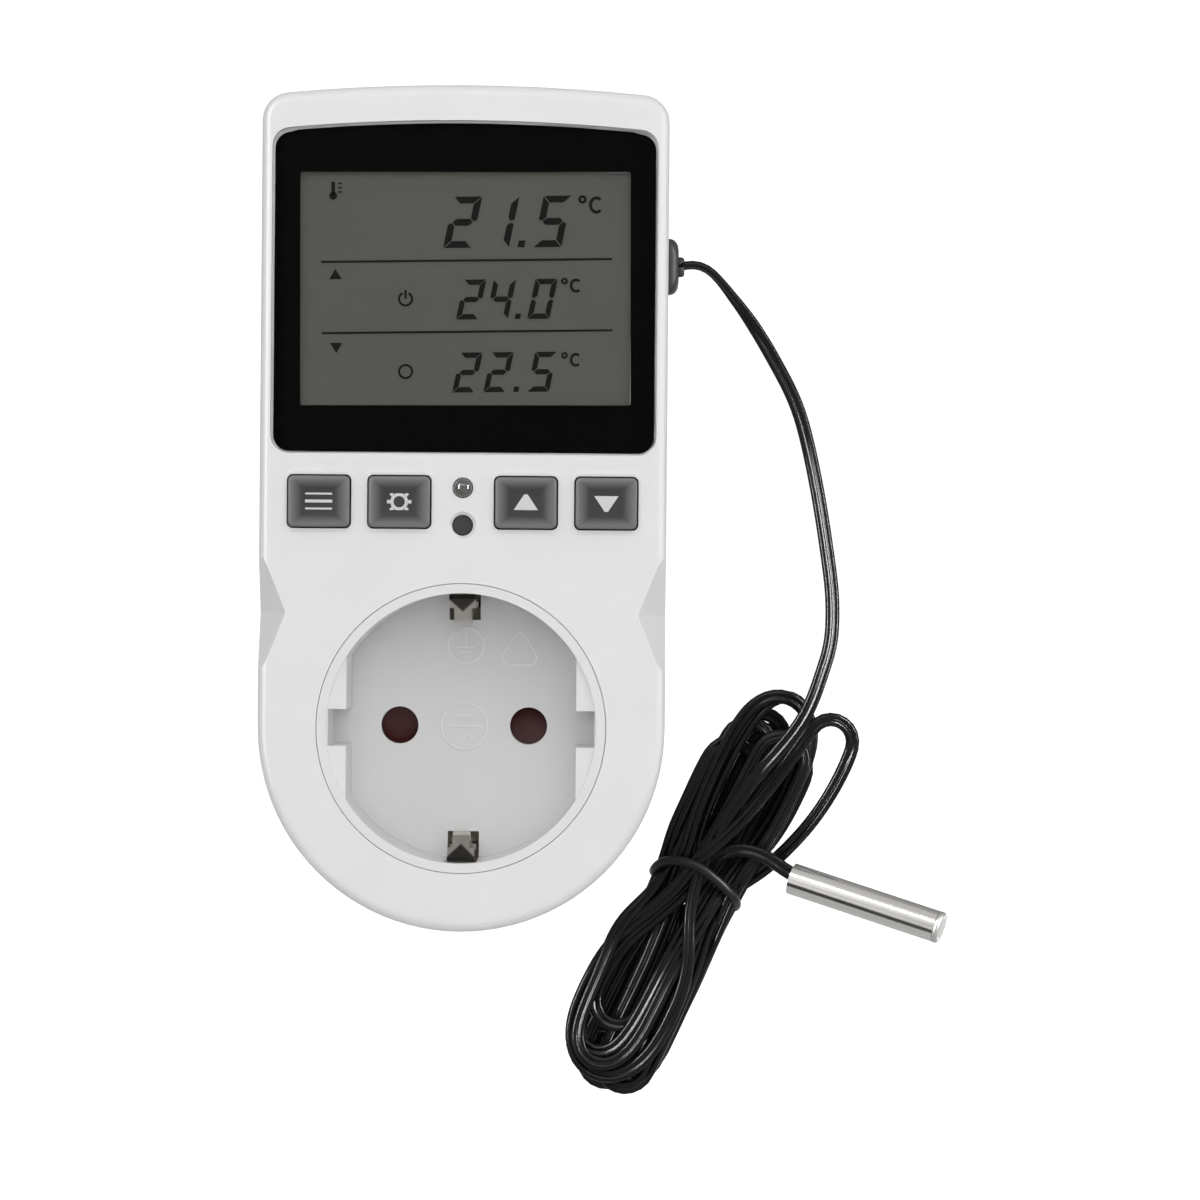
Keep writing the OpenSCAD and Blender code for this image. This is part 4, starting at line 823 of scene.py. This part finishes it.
seam_rings = [[(p[0] + q[0] * out, PARTING_Y + side * SEAM_W / 2, p[1] + q[1] * out)
               for out, side in ((-SEAM_DEEP, -1), (SEAM_PROUD, -1), (SEAM_PROUD, 1), (-SEAM_DEEP, 1))]
              for p, q in zip(*parting_outline())]
tube_mesh("shell_seam", seam_rings, "seam", closed=True, smooth=False, slot="housing")

# Display: black mask with its opening inside the window, and the figures on the LCD

window_low, window_high = box_of("display_window")
lcd_low, lcd_high = box_of("lcd_glass")
VIEW = ((lcd_low[0] + lcd_high[0]) / 2 + 0.1, (lcd_low[2] + lcd_high[2]) / 2)
VIEW_W, VIEW_H, VIEW_TURN = 47.7, 33.7, 0.4
MASK_Y, MASK_T = window_high[1] - 0.15, 0.1
MASK_INSET = 0.25
INK_TURN = 1.05
INK_Y, INK_T = lcd_low[1] - 0.05, 0.06


def window_outline(inset):
    """The window's outline: straight sides, bowed top and round corners, moved in by inset."""
    half, low, high = window_high[0] - inset, window_low[2] + inset, window_high[2] - inset
    bow, r = 1.4, 2.6 - inset
    out = arc(half - r, low + r, r, -90, 0, 8) + arc(half - r, high - bow - r, r, 0, 86, 8)
    out += [(x, high - bow * (x / half) ** 2) for x in np.linspace(half - r - 1, -(half - r - 1), 15)]
    return out + arc(-half + r, high - bow - r, r, 94, 180, 8) + arc(-half + r, low + r, r, 180, 270, 8)


# The opening gets the outline's extra points along its top
mask_outer = window_outline(MASK_INSET)
opening = turned(rounded(VIEW_W, VIEW_H, 0.3, 8), VIEW, VIEW_TURN)
top = len(opening) // 2
bridge = np.linspace(opening[top - 1], opening[top], len(mask_outer) - len(opening) + 2)[1:-1]
opening = opening[:top] + [tuple(p) for p in bridge] + opening[top:]
mask_rings = [[(x, y, z) for x, z in outline]
              for outline, y in ((mask_outer, MASK_Y), (mask_outer, MASK_Y + MASK_T),
                                 (opening, MASK_Y + MASK_T), (opening, MASK_Y))]
tube_mesh("window_mask", mask_rings, "mask", closed=True, smooth=False, slot="window")

# The bars of each figure that the rows below show
SEGMENTS = {"0": "abcdef", "1": "bc", "2": "abged", "4": "fgbc", "5": "afgcd"}
SLANT = math.tan(math.radians(12.5))


def digit(figure, left, base, w, h, t):
    """A slanted seven segment digit: bars with mitred ends and fine gaps between them."""
    g = t * 0.1
    half = h / 2
    bars = {
        "a": [(g, h), (w - g, h), (w - g - t, h - t), (g + t, h - t)],
        "g": [(g + t / 2, half), (g + t, half + t / 2), (w - g - t, half + t / 2), (w - g - t / 2, half),
              (w - g - t, half - t / 2), (g + t, half - t / 2)],
        "d": [(g, 0), (w - g, 0), (w - g - t, t), (g + t, t)],
        "f": [(0, h - g), (t, h - g - t), (t, half + g + t / 2), (t / 2, half + g), (0, half + g + t / 4)],
        "e": [(0, g), (t, g + t), (t, half - g - t / 2), (t / 2, half - g), (0, half - g - t / 4)],
        "b": [(w, h - g), (w - t, h - g - t), (w - t, half + g + t / 2), (w - t / 2, half + g),
              (w, half + g + t / 4)],
        "c": [(w, g), (w - t, g + t), (w - t, half - g - t / 2), (w - t / 2, half - g),
              (w, half - g - t / 4)],
    }
    return [[(left + x + z * SLANT, base + z) for x, z in bars[s]] for s in SEGMENTS[figure]]


def reading(figures, left, base, w, h, t, step, dot_step):
    """Two digits, a point and a third digit."""
    out = digit(figures[0], left, base, w, h, t) + digit(figures[1], left + step, base, w, h, t)
    dot = left + step + w + (dot_step - w) * 0.36
    out.append([(dot, base), (dot + t, base), (dot + t * 1.2, base + t), (dot + t * 0.2, base + t)])
    return out + digit(figures[2], left + step + dot_step, base, w, h, t)


def degrees_c(left, top, h, t):
    """A degree sign and a capital C."""
    r = h * 0.17
    cx, cz, a = left + r * 2 + t + h * 0.46, top - h / 2, h / 2 - t / 2
    c_line = [(cx + u * 0.84, cz + v) for u, v in arc(0, 0, a, 48, 312, 16)]
    return ring(left + r, top - r, r, t * 0.8, 14) + line(c_line, t)


def thermometer(x, z, h):
    """A small stem with a bulb and three marks."""
    stem = line([(x, z + h * 0.3), (x, z + h)], h * 0.2)
    bulb = fill(arc(x, z + h * 0.22, h * 0.22, 0, 360, 16)[:-1])
    heights = [z + h * k for k in (0.42, 0.66, 0.9)]
    marks = [s for at in heights for s in line([(x + h * 0.28, at), (x + h * 0.5, at)], h * 0.08)]
    return stem + bulb + marks


def triangle(x, z, half, down, up):
    """A flat triangle on a level side, with its point at up; a negative down and up turn it over."""
    return fill([(x - half, z - down), (x + half, z - down), (x, z + up)])


# Each row's figures, left end, base line, digit width, height and stroke, and the steps to its second and
# third digit, then the left end, top, height and stroke of its unit. Places are from the middle of the view
ROWS = [(("215", -3.2, 5.95, 4.1, 7.4, 0.98, 5.4, 7.6), (16.6, 13.2, 2.5, 0.44)),
        (("240", -1.45, -4.4, 3.2, 5.75, 0.76, 4.3, 6.0), (13.95, 1.35, 2.05, 0.37)),
        (("225", -2.1, -14.95, 3.2, 5.75, 0.76, 4.5, 6.3), (13.85, -9.4, 2.0, 0.37))]
RULE_LEFT, RULES = -20.85, ((21.2, 4.12), (21.15, -6.18))
FINE = 0.3
ink = [s for figures, sign in ROWS for s in reading(*figures) + degrees_c(*sign)]
ink += [s for right, z in RULES for s in line([(RULE_LEFT, z), (right, z)], FINE)]
ink += thermometer(-19.0, 13.1, 2.6)
ink += triangle(-18.8, 2.1, 0.9, 0.5, 1.0) + triangle(-18.8, -8.1, 0.9, -0.5, -1.0)
ink += line(arc(-8.7, -1.35, 0.95, 62, -242, 18), FINE) + line([(-8.7, -1.3), (-8.7, -0.05)], FINE)
ink += ring(-8.8, -11.85, 0.95, FINE, 20)
plate("lcd_figures", [turned(s, VIEW, INK_TURN) for s in ink], INK_Y - INK_T, INK_Y, "figures", slot="lcd")

# Keys: dished caps with a plain symbol each

CAP_W, CAP_H, CAP_R = 8.85, 7.36, 0.75
# How far in from the edge and behind the key's front each ring of the dished cap is
CAP_STEPS = [(0.0, 0.3), (0.0, -0.16), (0.06, -0.28), (0.18, -0.37), (0.36, -0.42), (0.62, -0.42),
             (1.1, -0.36), (1.8, -0.28), (2.8, -0.22)]
MARK_FRONT, MARK_BACK = -0.24, -0.1
MARK_R = 1.75


def bar_row(x, z):
    levels = [z + k * 1.15 for k in (-1, 0, 1)]
    return [s for level in levels for s in line([(x - 2.2, level), (x + 2.2, level)], 0.42)]


def cog(x, z):
    """A ring with eight teeth."""
    out = ring(x, z, MARK_R * 0.6, MARK_R * 0.26, 24)
    for a in np.radians(np.arange(0, 360, 45)):
        c, s = MARK_R * math.cos(a), MARK_R * math.sin(a)
        out += line([(x + 0.68 * c, z + 0.68 * s), (x + c, z + s)], MARK_R * 0.28)
    return out


def arrow_up(x, z):
    return triangle(x, z, MARK_R, MARK_R * 0.6, MARK_R * 0.9)


def arrow_down(x, z):
    return triangle(x, z, MARK_R, MARK_R * -0.6, MARK_R * -0.9)


for name, mark in (("mode", bar_row), ("set", cog), ("up", arrow_up), ("down", arrow_down)):
    body = name + "_key"
    low, high = box_of(body)
    x, z = (low[0] + high[0]) / 2, (low[2] + high[2]) / 2
    rings = [[(x + u, low[1] + drop, z + v)
              for u, v in rounded(CAP_W - 2 * inset, CAP_H - 2 * inset, max(0.15, CAP_R - inset * 0.3), 6)]
             for inset, drop in CAP_STEPS]
    tube_mesh(name + "_cap", rings, "key", body=body, slot="key")
    plate(name + "_symbol", mark(x, z), low[1] + MARK_FRONT, low[1] + MARK_BACK, "key_mark", body=body,
          slot="key")

# Socket: raised signs on the recess floor

RECESS_DEPTH = 17.5
FLOOR_Y = box_of("socket_cup")[0][1] + RECESS_DEPTH
SIGN_H, SIGN_LINE = 0.3, 0.2


def earth_sign(x, z, r):
    """A ring with a stem and three bars that get shorter."""
    out = ring(x, z, r, SIGN_LINE, 40) + line([(x, z + r * 0.72), (x, z - r * 0.05)], SIGN_LINE)
    for half, at in ((0.56, -0.08), (0.34, -0.36), (0.14, -0.64)):
        out += line([(x - r * half, z + r * at), (x + r * half, z + r * at)], SIGN_LINE)
    return out


def current_sign(x, z, r):
    """A divided ring with a straight and a waved line."""
    wave = [(x + u, z - r * 0.5 + 0.5 * math.sin(u * 2.6)) for u in np.linspace(-1.2, 1.2, 17)]
    out = ring(x, z, r, SIGN_LINE, 44) + line([(x - r * 0.78, z), (x + r * 0.78, z)], SIGN_LINE)
    return out + line(wave, SIGN_LINE) + line([(x - 0.9, z + r * 0.45), (x + 0.9, z + r * 0.45)], SIGN_LINE)


def three_sides(x, z, r):
    """A plain triangle with round corners."""
    corners = []
    for a in (90, 210, 330):
        cx, cz = x + r * 0.6 * math.cos(math.radians(a)), z + r * 0.6 * math.sin(math.radians(a))
        corners += arc(cx, cz, r * 0.35, a - 60, a + 60, 6)
    return line(corners, SIGN_LINE, closed=True)


signs = earth_sign(0.2, 11.8, 2.6) + current_sign(0.1, -0.05, 3.4) + three_sides(8.1, 10.9, 2.9)
plate("socket_signs", signs, FLOOR_Y - SIGN_H, FLOOR_Y + 0.05, "sign", slot="socket")

# Grommet: a rounded collar with a lip round the cord

# How far right each ring is, its half height and half width, and its corner radius
COLLAR = [(26.0, 1.6, 0.5, 0.4), (26.08, 3.1, 2.0, 1.6), (26.5, 3.4, 2.2, 1.6), (27.18, 3.4, 2.2, 1.6),
          (27.22, 3.1, 2.0, 1.6), (29.38, 3.1, 2.0, 1.6), (29.42, 4.12, 2.78, 1.6), (29.7, 4.15, 2.8, 1.7),
          (30.1, 4.12, 2.78, 1.9), (30.5, 3.98, 2.68, 2.2), (30.85, 3.66, 2.45, 2.3), (31.08, 3.2, 2.1, 2.05),
          (31.2, 2.4, 1.6, 1.55)]
collar_rings = [[(x, CORD_ROUTE[0][1] + u, CORD_ROUTE[0][2] + v)
                 for u, v in rounded(2 * across, 2 * high, corner, 8)] for x, high, across, corner in COLLAR]
collar = tube_mesh("grommet_collar", collar_rings, "rubber", slot="grommet")
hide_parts("cord_grommet")

# The same for the lip, which is an oval
LIP = [(30.9, 1.5, 1.0), (31.5, 1.5, 1.0), (31.9, 1.4, 0.9), (32.05, 1.2, 0.7)]
lip_rings = [[(x, CORD_ROUTE[0][1] + across * math.cos(a), CORD_ROUTE[0][2] + high * math.sin(a))
              for a in around(24)] for x, high, across in LIP]
tube_mesh("grommet_lip", lip_rings, "rubber", slot="grommet")

# World: brighter above and at the right, dark straight behind the camera, dim at the sides and white ahead

world = bpy.data.worlds.new("studio")
scene.world = world
world.use_nodes = True
sky = world.node_tree
sky.nodes.clear()
way = axes_of(sky, where_on(sky, "Generated"))
above = step_of(sky, way["Z"], -0.3, 0.45, 0.4, 1.2)
right_side = step_of(sky, way["X"], -1, 1, 0.95, 1.06)
behind_camera = step_of(sky, way["Y"], -0.99, -0.955, 0.08, 1.0)
near_half = step_of(sky, way["Y"], -0.95, -0.3, 0.74, 0.48)
far_half = step_of(sky, way["Y"], -0.2, 0.7, 1.0, 0.5)
backdrop = step_of(sky, way["Y"], 0.93, 0.975, 0.0, 0.95)
strength = above
for factor in (right_side, result_of(sky, "MULTIPLY", near_half, far_half), behind_camera):
    strength = result_of(sky, "MULTIPLY", strength, factor)
background = new_node(sky, "Background", None, {"Color": (1, 1, 1, 1)},
                      {"Strength": result_of(sky, "ADD", strength, backdrop)})
new_node(sky, "OutputWorld", links={"Surface": background.outputs["Background"]})

# Lights, as place, aim, size and power


def area(name, where, aim, size, power, glossy=True, diffuse=True):
    light = bpy.data.lights.new(name, "AREA")
    light.shape = "RECTANGLE"
    light.size, light.size_y = size
    light.energy = power
    obj = bpy.data.objects.new(name, light)
    scene.collection.objects.link(obj)
    obj.location = where
    obj.rotation_mode = "QUATERNION"
    obj.rotation_quaternion = (Vector(aim) - Vector(where)).to_track_quat("-Z", "Y")
    obj.visible_glossy = glossy
    obj.visible_diffuse = diffuse
    obj.visible_camera = False


FACE = (0.02, -0.05, 0.01)
SIDE = (0.03, -0.04, -0.02)
area("key", (0.4, -1.25, 0.7), FACE, (0.9, 0.8), 2.3, glossy=False)
area("fill", (0.05, -1.3, 0.12), FACE, (0.6, 0.5), 3.1, glossy=False)
area("softbox", (0.05, -0.9, 0.66), (0.05, -0.04, -0.02), (0.9, 0.16), 3.0, diffuse=False)
area("strip_left", (-0.75, -0.75, 0.3), SIDE, (0.07, 0.9), 26.0, diffuse=False)
area("strip_right", (0.95, -0.55, 0.25), SIDE, (0.06, 0.8), 20.0, diffuse=False)

# Floor, with a part that glows at a distance and a dark card that the probe mirrors

FLOOR_Z = -0.16
FLOOR_HALF = 6
# Where the glow starts, where it is full and how strong it is there
GLOW_FROM, GLOW_TO, GLOW_MOST = 0.1, 0.65, 0.85
PAPER = grey(0.9)


def sheet(name, x0, x1, y0, y1, z, look):
    mesh = bpy.data.meshes.new(name)
    mesh.from_pydata([(x0, y0, z), (x1, y0, z), (x1, y1, z), (x0, y1, z)], [], [(0, 1, 2, 3)])
    obj = bpy.data.objects.new(name, mesh)
    scene.collection.objects.link(obj)
    mesh.materials.append(look)


pale = material("floor_pale", grey(0.85), 0.9, specular=0.1, vary=0.005)
paper = material("floor_white", PAPER, 0.9, specular=0.1, vary=0.005)
white = glow_by_depth(paper, PAPER, GLOW_MOST, GLOW_FROM, GLOW_TO)
card = material("card_black", grey(0.01), 0.9, specular=0.1)
sheet("floor", -FLOOR_HALF, FLOOR_HALF, -FLOOR_HALF, GLOW_FROM, FLOOR_Z, pale)
sheet("floor_far", -FLOOR_HALF, FLOOR_HALF, GLOW_FROM, FLOOR_HALF, FLOOR_Z, white)
sheet("dark_card", -0.17, -0.03, -0.3, -0.12, FLOOR_Z + 0.002, card)

scene.view_settings.view_transform = "Standard"
scene.view_settings.look = "None"
